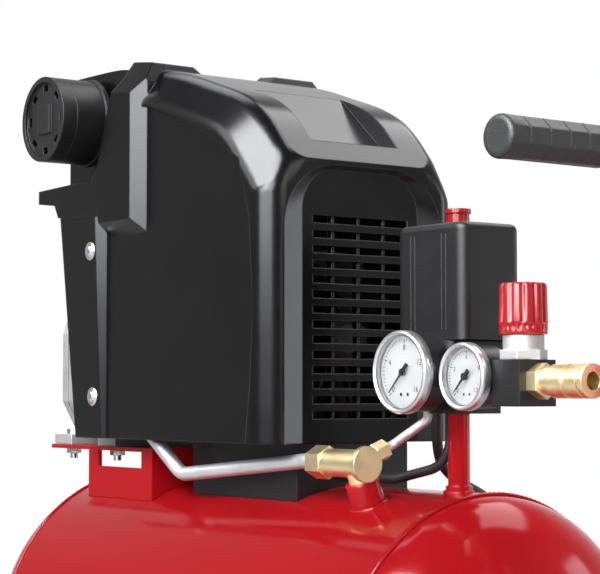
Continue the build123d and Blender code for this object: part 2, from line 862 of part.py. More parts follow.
def upper_column():
    """Proud column at the rear of one side that runs over the shoulder and ends in a shelf for the filter."""
    tip = [(hood_fan_x - hood_rear_x, rise) for rise in (0.0, -shelf_thickness)]
    brace = [(shelf_brace_back, -shelf_brace), rear_foot_line[1]]
    outline = hood_points(rear_line + tip + brace + column_foot + column_crown)
    skin = hood_prism(column_half, hood_low_z, hood_rear_x, 0, -column_rise)
    column = skin & side_prism(outline, (column_inner, 2 * column_half))
    panel_y = hood_half - hood_panel_depth
    past_y = 2 * column_half
    front_x, foot_z = hood_points(column_foot)[-1]
    slope_x = front_x - column_slope
    front = [(slope_x, column_half), (front_x, panel_y), (front_x, past_y), (slope_x, past_y)]
    slope_z = foot_z + column_slope
    under = [(panel_y, foot_z), (column_half, slope_z), (past_y, slope_z), (past_y, foot_z)]
    column -= plan_prism(front, (hood_low_z, hood_roof_z))
    low_z = hood_roof_z - 2 * column_rise
    ramp = [(column_inner, low_z), (column_inner + column_ramp, hood_roof_z), (column_inner, hood_roof_z)]
    column -= end_prism(ramp, (hood_rear_x, front_x))
    return column - end_prism(under, (lower_column_x[1], front_x))


def lower_column():
    """Proud column below the shelf of one side, which leans out upwards and holds the screws."""
    root = hood_half - hood_panel_depth - hood_wall
    top_z = hood_points(rear_foot_line)[-1][1]
    outline = [(root, hood_low_z), (hood_half, hood_low_z), (lower_column_half, top_z), (root, top_z)]
    front_x = lower_column_x[1]
    slope_x = front_x - lower_column_slope
    past_y = 2 * hood_half
    front = [(slope_x, lower_column_half), (front_x, root + hood_wall), (front_x, past_y), (slope_x, past_y)]
    return end_prism(outline, lower_column_x) - plan_prism(front, (hood_low_z, top_z))


def rear_cut():
    """What the hood leaves open at the rear: the crankcase below the shelf, the filter above it."""
    past = hood_rear_x - hood_half
    wide = (-2 * hood_half, 2 * hood_half)
    shelf_z = hood_crease_z - shelf_thickness
    brace = [(shelf_brace_back, -shelf_brace)]
    below = hood_points(rear_foot_line + brace) + [(hood_rear_x, shelf_z), (past, shelf_z)]
    below.append((past, hood_points(rear_foot_line)[0][1]))
    eaves_x, eaves_z = hood_points(rear_line)[0]
    beside = [(past, eaves_z)] + hood_points(rear_line)
    beside += [(hood_rear_x, hood_crease_z), (past, hood_crease_z)]
    eaves = block((past, eaves_x), (rear_roof_half, 2 * hood_half), (eaves_z, 2 * hood_roof_z))
    return side_prism(below, wide) + side_prism(beside, wide) + both_sides(eaves)


def filter_bay():
    """Walls of one side of the hood around the filter: beside the head, behind the column and the shelf."""
    inner_y = rear_roof_half - hood_wall
    outer_y = hood_half - hood_panel_depth
    shelf_z = hood_crease_z - shelf_thickness
    edge = [(hood_points(rear_line)[0][0], hood_roof_z)] + hood_points(rear_line)
    inset = [(x + hood_wall, z) for x, z in reversed(edge)]
    wall = [(hood_rear_x, hood_roof_z), (hood_rear_x, shelf_z), (inset[0][0], shelf_z)] + inset
    bay = side_prism(wall, (inner_y, rear_roof_half)) + side_prism(edge + inset, (inner_y, outer_y))
    return bay + block((hood_rear_x, inset[0][0]), (inner_y, outer_y), (shelf_z, shelf_z + hood_wall))


def scoop(grow):
    """Hollow in the roof that deepens towards the louvred end, made deeper and wider by grow."""
    points = [(x, z - grow) for x, z in hood_points(scoop_line)]
    return side_prism(points, (-scoop_half - grow, scoop_half + grow))


def screw_places():
    """Middle points of the hood screws in (X, Z) with the depth of the column's face there."""
    top_z = hood_points(rear_foot_line)[-1][1]
    slope = (lower_column_half - hood_half) / (top_z - hood_low_z)
    return [(hood_screw_x, z, hood_half + slope * (z - hood_low_z)) for z in hood_screw_z]


def soft_shoulders(body):
    """Round the long edges on both sides of the hood's shoulders."""
    low = hood_roof_z - 2 * shoulder_side
    boxes = [(edge, edge.bounding_box()) for edge in body.edges()]
    return fillet([edge for edge, box in boxes if box.size.X > hood_half and box.max.Z > low], shoulder_round)


def hood():
    """Glossy moulded hood over the pump and the motor, with its four screws."""
    body = hood_prism(hood_half, hood_low_z, hood_rear_x, 0, 0)
    corners = [e for e in body.edges().filter_by(Axis.Z) if e.center().X > hood_fan_x - loose_gap]
    outside = soft_shoulders(fillet(corners, hood_corner))
    body = outside
    for cutter in both_sides(side_panel()):
        body -= cutter
    for added in both_sides(upper_column()) + both_sides(lower_column()):
        body += added
    inner_half = hood_half - hood_panel_depth - hood_wall
    setback = hood_end_depth + hood_wall
    low = hood_low_z - hood_half
    body -= hood_prism(inner_half, low, hood_rear_x, setback, hood_roof_wall)
    body -= rear_cut()
    body += scoop(hood_wall) & outside
    body = louvred_end(body - scoop(0))
    for added in both_sides(filter_bay() & outside):
        body += added
    neck_length = rear_roof_half - head_half + hood_wall
    body -= rod((filter_x, -head_half, filter_z), (0, -1, 0), neck_length, filter_neck_radius + bolt_gap)
    screws = []
    for x, z, face in screw_places():
        for side in (-1, 1):
            start = (x, side * (inner_half - hood_screw_depth), z)
            shank = rod(start, (0, side, 0), face - inner_half + hood_screw_depth, hood_screw_radius)
            body -= shank
            head = (x, side * (face + hood_screw_proud), z)
            screws.append(shank + hexagon(head, (0, -side, 0), hood_screw_head_height, hood_screw_head_flats))
            body -= hexagon(head, (0, -side, 0), hood_screw_head_height, hood_screw_head_flats)
    save("hood", body)
    save("hood_screws", group(*screws))


def air_filter():
    """Round intake filter that stands out from the cylinder head."""
    out = (0, -1, 0)
    joint_y = filter_face_y + filter_cap_length
    ring_y = joint_y + filter_body_length
    back_y = ring_y + filter_ring_length
    inside = filter_radius - filter_wall
    cap = rod((filter_x, joint_y, filter_z), out, filter_cap_length, filter_radius)
    sunk_y = filter_face_y + filter_sink
    cap -= rod((filter_x, joint_y, filter_z), out, joint_y - sunk_y - filter_wall, inside)
    cap -= rod((filter_x, sunk_y, filter_z), out, filter_sink, filter_radius - filter_rim)
    slot = Pos(0, 0, filter_slot_middle) * Box(filter_slot_width, 4 * filter_wall, filter_slot_length)
    for step in range(filter_slots):
        turn = Rot(0, 360 * step / filter_slots, 0)
        cap -= Pos(filter_x, sunk_y, filter_z) * turn * slot
    badge_x = (filter_x - filter_badge_width / 2, filter_x + filter_badge_width / 2)
    badge_z = (filter_z - filter_badge_length / 2, filter_z + filter_badge_length / 2)
    cap += block(badge_x, (sunk_y - filter_badge_height, sunk_y), badge_z)
    save("filter_cap", cap)
    body = rod((filter_x, back_y, filter_z), out, filter_ring_length, filter_ring_radius)
    body += rod((filter_x, ring_y, filter_z), out, filter_body_length, filter_radius)
    body -= rod((filter_x, ring_y, filter_z), out, filter_body_length, inside)
    neck = -head_half - back_y
    body += rod((filter_x, -head_half, filter_z), out, neck, filter_neck_radius)
    body -= rod((filter_x, -head_half, filter_z), out, neck + filter_ring_length, filter_neck_bore)
    save("filter_body", body)


def radial(distance):
    """Point above the tilted boss at a distance from the tank's axis, as (Y, Z)."""
    tilt = math.radians(valve_tilt)
    return (-distance * math.sin(tilt), tank_axis_z + distance * math.cos(tilt))


def valve_ways():
    """Directions of the tilted valve: out of the tank and across it."""
    tilt = math.radians(valve_tilt)
    return (0, -math.sin(tilt), math.cos(tilt)), (0, math.cos(tilt), math.sin(tilt))


def valve_point(across):
    """Point on the valve's side port, at a distance from its middle."""
    y, z = radial(valve_centre_radius)
    way = valve_ways()[1]
    return (valve_x, y + across * way[1], z + across * way[2])


def check_valve():
    """Welded boss, check valve, its end plug and the two tube nuts."""
    out, across = valve_ways()
    inside = tank_radius - tank_wall
    boss = rod((valve_x, *radial(inside)), out, boss_top_radius - inside, boss_radius)
    save("valve_boss", boss - tank_bar(tank_radius))
    y, z = radial(valve_centre_radius)
    along = (1, 0, 0)
    barrel_x = valve_x - valve_reach
    stem = rod((valve_x, *radial(boss_top_radius)), out, valve_stem_length, valve_stem_radius)
    body = stem + rod((barrel_x, y, z), along, valve_reach + valve_stem_radius, valve_radius)
    body += rod(valve_point(0), across, unloader_nut_start, unloader_port_radius)
    plug_start = (valve_x + valve_stem_radius, y, z)
    save("check_valve", body)
    plug = rod(plug_start, along, plug_length, plug_radius)
    nut_x = barrel_x - delivery_nut_length
    delivery = hexagon((nut_x, y, z), along, delivery_nut_length, delivery_nut_flats)
    delivery -= rod((nut_x, y, z), along, delivery_nut_length, delivery_radius)
    nut_point = valve_point(unloader_nut_start)
    unloader = hexagon(nut_point, across, unloader_nut_length, unloader_nut_flats)
    unloader -= rod(nut_point, across, unloader_nut_length, unloader_radius)
    save("valve_fittings", group(plug, delivery, unloader))


def delivery_tube():
    """Tube from the cylinder head down inside the hood and along the tank to the check valve."""
    y, z = radial(valve_centre_radius)
    head_x = cylinder_x + head_half
    head_z = deck_z + cylinder_height + valve_plate_thickness + delivery_drop
    run_x = head_x + delivery_run
    outlet = FilletPolyline(
        (head_x, -delivery_port_y, head_z),
        (run_x, -delivery_port_y, head_z),
        (run_x, -delivery_side_y, head_z - delivery_drop),
        (run_x, -delivery_side_y, hood_low_z + delivery_drop),
        (run_x + delivery_dip_run, -delivery_dip_y, tank_top_z + delivery_lift),
        (valve_x - valve_reach - 2 * delivery_nut_length, y, z),
        (valve_x - valve_reach, y, z),
        radius=delivery_bend,
    )
    save("delivery_tube", pipe(outlet, delivery_radius, delivery_radius - delivery_wall))


def unloader_tube():
    """Thin tube from the check valve up to the pressure switch."""
    start = valve_point(unloader_nut_start)
    turn = valve_point(unloader_nut_start + unloader_nut_length + unloader_reach)
    x = motor_gland_x
    shoulder = (x - unloader_back, unloader_y - unloader_side, switch_base_z - unloader_drop)
    rise = (x, unloader_y, switch_base_z - unloader_rise)
    end = (x, unloader_y, switch_base_z)
    path = FilletPolyline(start, turn, shoulder, rise, end, radius=unloader_bend)
    save("unloader_tube", pipe(path, unloader_radius, unloader_radius - unloader_wall))


def switch_group():
    """Post, pressure switch base with glands, cover and pull button."""
    up = (0, 0, 1)
    post_top = tank_top_z + post_height
    inside = tank_axis_z + tank_radius - tank_wall
    post = rod((post_x, 0, inside), up, post_top - inside, post_radius)
    post += rod((post_x, 0, inside), up, post_collar_height, post_collar_radius)
    post -= rod((post_x, 0, inside), up, post_top - inside, post_bore)
    save("switch_post", post - tank_bar(tank_radius))
    base_z = switch_base_z
    cover_z = base_z + switch_base_height
    x_span = (post_x - switch_length / 2, post_x + switch_length / 2)
    y_span = (-switch_half_y, switch_half_y)
    base = block((x_span[0], post_x + switch_base_reach), y_span, (base_z, cover_z))
    base = fillet(base.edges().filter_by(Axis.Z), switch_edge)
    manifold_x = (post_x - manifold_half_x + manifold_shift, post_x + manifold_half_x + manifold_shift)
    base += block(manifold_x, (-manifold_half_y, manifold_half_y), (post_top, base_z))
    for x in (mains_gland_x, motor_gland_x):
        base += rod((x, gland_y, base_z - gland_length), up, gland_length, gland_radius)
    save("switch_base", base)
    top_z = cover_z + switch_cover_height
    cover = block(x_span, y_span, (cover_z, top_z))
    cover = fillet(cover.edges().filter_by(Axis.Z), switch_edge)
    cover = fillet(cover.faces().sort_by(Axis.Z)[-1].edges(), switch_edge - switch_cover_wall)
    wall = switch_cover_wall
    inner_x = (x_span[0] + wall, x_span[1] - wall)
    inner_y = (y_span[0] + wall, y_span[1] - wall)
    cover -= block(inner_x, inner_y, (cover_z, top_z - wall))
    cover -= rod((post_x, 0, cover_z), up, switch_cover_height, button_radius + loose_gap)
    for offset in switch_line_offsets:
        line_x = (post_x + offset - switch_line_width / 2, post_x + offset + switch_line_width / 2)
        line_y = (-switch_half_y, -switch_half_y + switch_line_depth)
        cover -= block(line_x, line_y, (cover_z + switch_edge, top_z - switch_edge))
    save("switch_cover", cover)
    button_top = top_z + button_height
    flange = (post_x, 0, button_top - button_flange_height)
    button = rod(flange, up, button_flange_height, button_flange_radius)
    button += rod((post_x, 0, top_z - wall), up, button_height + wall - button_flange_height, button_radius)
    stem_z = cover_z + button_travel + loose_gap
    button += rod((post_x, 0, stem_z), up, top_z - stem_z, button_stem_radius)
    save("switch_button", button)


def gauge(x, z, face_y, radius, back_y):
    """Case, bezel, dial, lens and needle of one dial gauge that faces -Y."""
    back = (0, 1, 0)
    inside = radius - gauge_bezel_wall
    bezel = ring((x, face_y, z), back, gauge_bezel_length, radius, inside)
    lens = rod((x, face_y + gauge_lens_inset, z), back, gauge_lens_thickness, inside)
    dial_y = face_y + gauge_bezel_length - gauge_dial_thickness
    dial = rod((x, dial_y, z), back, gauge_dial_thickness, inside)
    case_y = face_y + gauge_bezel_length
    case = rod((x, case_y, z), back, back_y - case_y, radius - gauge_case_inset)
    lens_back = face_y + gauge_lens_inset + gauge_lens_thickness
    hub_y = lens_back + loose_gap
    hub_length = dial_y - hub_y - loose_gap
    needle = rod((x, hub_y, z), back, hub_length, needle_hub_radius)
    reach = inside * needle_reach_share
    tail = inside * needle_tail_share
    blade = Pos(0, 0, (reach - tail) / 2) * Box(needle_width, needle_thickness, reach + tail)
    middle_y = hub_y + hub_length / 2
    needle += Pos(x, middle_y, z) * Rot(0, 180 + needle_rest, 0) * blade
    return case, bezel, dial, lens, needle


def gauges():
    """Tank pressure gauge on the switch base and outlet gauge on the regulator's arm."""
    tank_set = gauge(tank_gauge_x, tank_gauge_z, tank_gauge_face_y, tank_gauge_radius, -switch_half_y)
    outlet_set = gauge(outlet_gauge_x, outlet_gauge_z, outlet_gauge_face_y, outlet_gauge_radius, arm_front_y)
    for index, node in enumerate(("gauge_cases", "gauge_bezels", "gauge_dials", "gauge_lenses")):
        save(node, group(tank_set[index], outlet_set[index]))
    save("tank_needle", tank_set[4])
    save("outlet_needle", outlet_set[4])


def regulator():
    """Regulator block on its arm, bonnet and fluted knob."""
    up = (0, 0, 1)
    arm_x = (post_x + switch_base_reach, regulator_pump_x)
    arm_z = (outlet_gauge_z - arm_half_height, outlet_gauge_z + arm_half_height)
    body = block(arm_x, (arm_front_y, arm_back_y), arm_z)
    body_x = (regulator_pump_x, regulator_pump_x + regulator_length)
    body_y = (regulator_y - regulator_half, regulator_y + regulator_half)
    body += block(body_x, body_y, (regulator_low_z, regulator_high_z))
    save("regulator_block", body)
    axis_x = regulator_pump_x + regulator_length / 2
    foot = (axis_x, regulator_y, regulator_high_z)
    bonnet = rod(foot, up, bonnet_height, bonnet_radius)
    bonnet += hexagon(foot, up, bonnet_flange_height, bonnet_flange_flats)
    neck_z = regulator_high_z + bonnet_height
    bonnet += rod((axis_x, regulator_y, neck_z), up, bonnet_neck_height, bonnet_neck_radius)
    save("regulator_bonnet", bonnet)
    knob_z = neck_z + loose_gap
    knob = rod((axis_x, regulator_y, knob_z), up, knob_height, knob_radius)
    knob = fillet(knob.faces().sort_by(Axis.Z)[-1].edges(), knob_flute_radius)
    for step in range(knob_flutes):
        turn = math.radians(360 * step / knob_flutes)
        place = (axis_x + knob_radius * math.cos(turn), regulator_y + knob_radius * math.sin(turn), knob_z)
        knob -= rod(place, up, knob_height, knob_flute_radius)
    socket = bonnet_neck_height + loose_gap
    knob -= rod((axis_x, regulator_y, knob_z), up, socket, bonnet_neck_radius + running_gap)
    save("regulator_knob", knob)


def coupler():
    """Quick coupler with its sliding sleeve, on the regulator's outlet."""
    along = (1, 0, 0)
    start_x = regulator_pump_x + regulator_length
    body = hexagon((start_x, regulator_y, coupler_z), along, coupler_hex_length, coupler_hex_flats)
    barrel_x = start_x + coupler_hex_length
    body += rod((barrel_x, regulator_y, coupler_z), along, coupler_length, coupler_radius)
    end_x = barrel_x + coupler_length
    body += rod((end_x - coupler_lip, regulator_y, coupler_z), along, coupler_lip, sleeve_radius)
    bore_start = (end_x - coupler_bore_length, regulator_y, coupler_z)
    body -= rod(bore_start, along, coupler_bore_length, coupler_bore)
    save("coupler_body", body)
    sleeve_x = barrel_x + sleeve_start
    sleeve_bore = coupler_radius + running_gap
    sleeve = ring((sleeve_x, regulator_y, coupler_z), along, sleeve_length, sleeve_radius, sleeve_bore)
    pitch = sleeve_length / (sleeve_grooves + 1)
    for step in range(sleeve_grooves):
        groove_x = sleeve_x + (step + 1) * pitch
        groove = (groove_x, regulator_y, coupler_z)
        sleeve -= ring(groove, along, pitch / 4, sleeve_radius, sleeve_radius - pitch / 8)
    save("coupler_sleeve", sleeve)


def safety_valve():
    """Safety valve with a pull ring behind the switch base."""
    back = (0, 1, 0)
    start = (safety_x, switch_half_y, safety_z)
    body = rod(start, back, safety_length, safety_radius)
    body += hexagon(start, back, safety_length / 3, safety_hex_flats)
    stem_y = switch_half_y + safety_length - safety_stem_length / 2
    bore = rod((safety_x, stem_y, safety_z), back, safety_stem_length, safety_stem_radius + running_gap)
    save("safety_valve", body - bore)
    pull = rod((safety_x, stem_y + loose_gap, safety_z), back, safety_stem_length, safety_stem_radius)
    ring_y = stem_y + safety_stem_length + safety_ring_radius
    pull += Pos(safety_x, ring_y, safety_z) * Rot(0, 90, 0) * Torus(safety_ring_radius, safety_wire_radius)
    save("safety_ring", pull)


def wheel(side):
    """One moulded wheel and its solid tyre."""
    out = (0, side, 0)
    start = (axle_x, side * wheel_inner_y, wheel_radius)
    rim_radius = wheel_radius - tyre_depth
    tread = rod(start, out, wheel_width, wheel_radius)
    tread = fillet(tread.edges().filter_by(GeomType.CIRCLE), tyre_depth / 3)
    tyre = tread - rod(start, out, wheel_width, rim_radius)
    rim = ring(start, out, wheel_width, rim_radius, rim_radius - rim_wall)
    web = (axle_x, side * (wheel_inner_y + wheel_width / 2 - web_thickness / 2), wheel_radius)
    rim += rod(web, out, web_thickness, rim_radius)
    hub_y = axle_bracket_half_y + loose_gap
    hub_length = wheel_inner_y + wheel_width - hub_y
    hub_start = (axle_x, side * hub_y, wheel_radius)
    rim += rod(hub_start, out, hub_length, hub_radius)
    rim -= rod(hub_start, out, hub_length, axle_radius + running_gap)
    return rim, tyre


def wheels():
    """Axle with its end caps and the two wheels."""
    end_y = wheel_inner_y + wheel_width + loose_gap
    axle = rod((axle_x, -end_y, wheel_radius), (0, 1, 0), 2 * end_y, axle_radius)
    for side in (-1, 1):
        axle += rod((axle_x, side * end_y, wheel_radius), (0, side, 0), axle_cap_length, axle_cap_radius)
    save("axle", axle)
    for side, name in ((-1, "front"), (1, "rear")):
        rim, tyre = wheel(side)
        save(f"wheel_{name}", rim)
        save(f"tyre_{name}", tyre)


def underside():
    """Axle bracket and foot bracket welded under the tank, and the rubber foot."""
    half_x = axle_bracket_half_x
    half_y = axle_bracket_half_y
    low = axle_bracket_low_z
    x_span = (axle_x - half_x, axle_x + half_x)
    axle_part = block(x_span, (-half_y, half_y), (low, tank_axis_z))
    axle_part -= block(x_span, (-half_y + sheet, half_y - sheet), (low + sheet, tank_axis_z))
    axle_part -= tank_bar(tank_radius)
    hole = rod((axle_x, -2 * half_y, wheel_radius), (0, 1, 0), 4 * half_y, axle_radius + running_gap)
    axle_part -= hole
    foot_span = (foot_x - foot_bracket_half_x, foot_x + foot_bracket_half_x)
    wide = (-foot_bracket_half_y, foot_bracket_half_y)
    foot_part = block(foot_span, wide, (foot_pad_height, tank_axis_z))
    inner = (foot_span[0] + sheet, foot_span[1] - sheet)
    foot_part -= block(inner, wide, (foot_pad_height + sheet, tank_axis_z))
    foot_part -= tank_bar(tank_radius)
    save("tank_brackets", group(axle_part, foot_part))
    pad = rod((foot_x, 0, 0), (0, 0, 1), foot_pad_height, foot_pad_radius)
    save("foot_pad", chamfer(pad.faces().sort_by(Axis.Z)[0].edges(), foot_pad_radius / 6))


def handle():
    """Bent handle post welded to the tank's end, with its cross bar and two grips."""
    inside_x = shell_handle_x + dome_depth / 2
    corner = (handle_x, handle_y, handle_weld_z)
    top = (handle_x, handle_y, handle_bar_z)
    path = FilletPolyline((inside_x, handle_y, handle_weld_z), corner, top, radius=handle_bend)
    tube = pipe(path, handle_tube_radius, handle_tube_radius - handle_tube_wall)
    tube -= Pos(shell_handle_x, 0, tank_axis_z) * dome(dome_depth, tank_radius - seam_step)
    bar = (handle_x, -bar_half, handle_bar_z)
    tube += rod(bar, (0, 1, 0), 2 * bar_half, bar_radius)
    bar_bore = bar_radius - handle_tube_wall
    tube -= rod(bar, (0, 1, 0), 2 * bar_half, bar_bore)
    save("handle_tube", tube)
    grip_end = bar_half + grip_cap
    grip_start = (handle_x, grip_end - grip_length, handle_bar_z)
    grip = rod(grip_start, (0, 1, 0), grip_length, grip_radius)
    grip = fillet(grip.faces().sort_by(Axis.Y)[-1].edges(), grip_cap)
    grip -= rod(grip_start, (0, 1, 0), grip_length - grip_cap, bar_radius)
    pitch = (grip_length - 4 * grip_cap) / grip_ribs
    for step in range(grip_ribs):
        y = grip_start[1] + 2 * grip_cap + step * pitch
        groove = (handle_x, y, handle_bar_z)
        grip -= ring(groove, (0, 1, 0), pitch / 3, grip_radius, grip_radius - grip_rib_depth)
    save("handle_grips", group(*both_sides(grip)))


def drain_valve():
    """Drain valve under the tank with its turning screw."""
    down = (0, 0, -1)
    inside = tank_clearance + tank_wall
    end_z = tank_clearance - drain_length
    body = rod((drain_x, 0, inside), down, drain_length + tank_wall, drain_radius) - tank_bar(tank_radius)
    bore = drain_stem_length + loose_gap
    body -= rod((drain_x, 0, end_z + bore), down, bore, drain_stem_radius + running_gap)
    save("drain_valve", body)
    screw_z = end_z - loose_gap
    screw = rod((drain_x, 0, screw_z), down, drain_screw_length, drain_screw_radius)
    screw += rod((drain_x, 0, screw_z + drain_stem_length), down, drain_stem_length, drain_stem_radius)
    for step in range(drain_flutes):
        turn = math.tau * step / drain_flutes
        x = drain_x + drain_screw_radius * math.cos(turn)
        y = drain_screw_radius * math.sin(turn)
        screw -= rod((x, y, screw_z), down, drain_screw_length, knob_flute_radius)
    save("drain_screw", screw)


def motor_lead():
    """Lead from the switch down to the motor cradle, held at both ends."""
    gland_z = switch_base_z - gland_length
    low_z = tank_top_z + lead_lift
    path = FilletPolyline(
        (motor_gland_x, gland_y, gland_z),
        (motor_gland_x, gland_y, gland_z - lead_drop),
        (cradle_fan_x + lead_reach, lead_y, low_z),
        (cradle_fan_x, lead_y, low_z),
        radius=lead_bend,
    )
    save("motor_lead", cable(path, lead_radius))


def corner_radii(points):
    """Radius of the arc at each inner point of a cord's route."""
    radii = []
    for before, here, after in zip(points, points[1:], points[2:]):
        arrive = Vector(*here) - Vector(*before)
        leave = Vector(*after) - Vector(*here)
        half_turn = math.radians(arrive.get_angle(leave) / 2)
        radii.append(cord_bend_share * min(arrive.length, leave.length) / math.tan(half_turn))
    return radii


def cord_route():
    """Points of the mains cord from its gland round the tank's back to the coil."""
    gland_z = switch_base_z - gland_length
    points = [(mains_gland_x, gland_y, gland_z), (cord_exit_x, cord_exit_y, gland_z - cord_exit_drop)]
    reach = tank_radius + cord_wrap_gap
    for angle in cord_wrap_angles:
        turn = math.radians(angle)
        points.append((cord_wrap_x, reach * math.sin(turn), tank_axis_z + reach * math.cos(turn)))
    return points + cord_fall


def mains_cord():
    """Free mains cord: hanging tube, stored coil and plug."""
    route = cord_route()
    radii = corner_radii(route)
    print("cord radii", [round(radius, 1) for radius in radii])
    path = FilletPolyline(*route, radius=radii)
    print("cord length", round(path.length, 1))
    save("mains_cord", cable(path, cord_radius))
    coil_half = coil_columns * cord_radius
    coil_height = 2 * coil_layers * cord_radius
    start = (coil_x, coil_y, 0)
    save("mains_coil", ring(start, (0, 0, 1), coil_height, coil_radius + coil_half, coil_radius - coil_half))
    edge = math.sqrt((coil_radius + coil_half) ** 2 - coil_radius**2)
    back = (-1, 0, 0)
    sleeve = (coil_x - edge, coil_y - coil_radius, mains_plug_radius)
    plug = rod(sleeve, back, mains_sleeve_length, mains_sleeve_radius)
    body_x = sleeve[0] - mains_sleeve_length
    plug += rod((body_x, *sleeve[1:]), back, mains_plug_length, mains_plug_radius)
    for side in (-1, 1):
        pin = (body_x - mains_plug_length, sleeve[1] + side * mains_pin_offset, mains_plug_radius)
        plug += rod(pin, back, mains_pin_length, mains_pin_radius)
    save("mains_plug", plug)


os.makedirs("parts", exist_ok=True)
tank()
pump_bracket()
crankcase()
crankcase_cover()
bolts()
cylinder()
cylinder_head()
piston_group()
rotating_group()
motor_housing()
motor_cradle()
hood()
air_filter()
check_valve()
delivery_tube()
unloader_tube()
switch_group()
gauges()
regulator()
coupler()
safety_valve()
wheels()
underside()
handle()
drain_valve()
motor_lead()
mains_cord()
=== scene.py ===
import bpy
import json
import math
from mathutils import Matrix, Vector


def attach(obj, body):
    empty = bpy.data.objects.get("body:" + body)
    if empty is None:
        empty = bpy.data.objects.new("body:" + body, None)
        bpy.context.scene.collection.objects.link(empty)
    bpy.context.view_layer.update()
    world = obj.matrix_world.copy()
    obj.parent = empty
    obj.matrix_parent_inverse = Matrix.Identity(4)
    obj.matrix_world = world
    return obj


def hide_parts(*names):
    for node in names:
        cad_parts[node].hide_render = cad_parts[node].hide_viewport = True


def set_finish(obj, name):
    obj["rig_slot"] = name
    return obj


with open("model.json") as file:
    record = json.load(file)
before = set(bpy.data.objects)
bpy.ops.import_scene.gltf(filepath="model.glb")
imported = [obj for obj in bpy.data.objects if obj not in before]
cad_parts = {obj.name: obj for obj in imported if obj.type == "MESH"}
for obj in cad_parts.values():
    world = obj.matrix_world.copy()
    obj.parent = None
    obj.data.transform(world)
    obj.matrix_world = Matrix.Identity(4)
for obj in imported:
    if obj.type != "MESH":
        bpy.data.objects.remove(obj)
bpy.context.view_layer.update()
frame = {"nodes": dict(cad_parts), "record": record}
scene = bpy.context.scene
scene.view_settings.view_transform = "Standard"

# Sizes below are in millimetres unless a comment says otherwise
MM = 0.001
BASE = "frame"
SHADER = "Principled BSDF"
# Radius that stands for the middle of a turned outline
POLE = 0.05

# Camera at the photograph's viewing angle, in metres
camera_place = (1.0305, -0.785, 0.3756)
camera_heading = (-0.804, 0.595, 0.0559)
camera_lens = 111.0
camera_sensor = 36.0


def aimed(place, heading):
    """Matrix of a camera or lamp that looks along a heading with the horizon level."""
    turn = Vector(heading).to_track_quat("-Z", "Y").to_matrix().to_4x4()
    return Matrix.Translation(Vector(place)) @ turn


def make_camera():
    """The scene's camera."""
    data = bpy.data.cameras.new("camera")
    data.lens = camera_lens
    data.sensor_width = camera_sensor
    camera = bpy.data.objects.new("camera", data)
    camera.matrix_world = aimed(camera_place, camera_heading)
    scene.collection.objects.link(camera)
    scene.camera = camera


# Free mains cord: the route's points, then the turns of the stored coil and the way into the plug
cord_radius = 3.5
tank_axis_z = 188.0
tank_radius = 123.0
cord_wrap_x = 93.0
cord_wrap_radius = tank_radius + 11.5
cord_wrap_angles = (13.0, 33.5, 54.5, 75.5)
cord_start = [(113.0, 5.0, 364.0), (108.0, 8.0, 338.0)]
cord_fall = [
    (92.0, 140.0, 165.0), (91.0, 144.0, 105.0), (91.0, 146.0, 62.0),
    (86.0, 147.0, 32.0), (70.0, 146.5, 11.0), (44.0, 146.0, 4.0),
]
coil_centre = (22.0, 186.0)
coil_first_angle = -90
coil_step = 20
# Degrees wound, radius and height of the strand; it changes evenly between these
coil_winding = [
    (0, 40.0, 4.0), (40, 43.5, 3.6), (270, 43.5, 3.6), (325, 43.5, 10.6), (470, 43.5, 10.6),
    (540, 36.5, 10.6), (850, 36.5, 10.6), (900, 36.5, 17.6), (1140, 36.5, 17.6), (1210, 43.5, 17.6),
    (1440, 43.5, 17.6),
]
cord_end = [(8.0, 143.5, 17.4), (-2.0, 146.0, 17.0), (-8.0, 146.0, 16.0)]

# Flat tie round the coil's strands
tie_radii = (32.6, 47.4)
tie_heights = (0.15, 21.6)
tie_thickness = 1.0
tie_width = 8.0
tie_angle = 60


def between(rows, at):
    """Values of a table of rows at a place along its first column."""
    for low, high in zip(rows, rows[1:]):
        if at <= high[0]:
            share = (at - low[0]) / (high[0] - low[0])
            return [a + share * (b - a) for a, b in zip(low[1:], high[1:])]
    return list(rows[-1][1:])


def coil_points():
    """Points of the coil's turns, wound clockwise from the side of the tank."""
    points = []
    for wound in range(0, coil_winding[-1][0] + 1, coil_step):
        radius, height = between(coil_winding, wound)
        angle = math.radians(coil_first_angle - wound)
        x = coil_centre[0] + radius * math.cos(angle)
        y = coil_centre[1] + radius * math.sin(angle)
        points.append((x, y, height))
    return points


def wrap_points():
    """Points of the cord where it lies round the back of the tank."""
    points = []
    for angle in cord_wrap_angles:
        turn = math.radians(angle)
        across = cord_wrap_radius * math.sin(turn)
        points.append((cord_wrap_x, across, tank_axis_z + cord_wrap_radius * math.cos(turn)))
    return points


def add_mesh(name, vertices, faces, material_slot, body=BASE):
    """A mesh piece that rides on a body."""
    mesh = bpy.data.meshes.new(name)
    mesh.from_pydata([[value * MM for value in vertex] for vertex in vertices], [], faces)
    mesh.update()
    piece = bpy.data.objects.new(name, mesh)
    scene.collection.objects.link(piece)
    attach(piece, body)
    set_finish(piece, material_slot)
    return piece


def ring_faces(rings, size):
    """Faces that join equal rings of points, each to the next and the last to the first."""
    faces = []
    for ring in range(rings):
        here = ring * size
        ahead = (ring + 1) % rings * size
        for index in range(size):
            after = (index + 1) % size
            faces.append((here + index, here + after, ahead + after, ahead + index))
    return faces


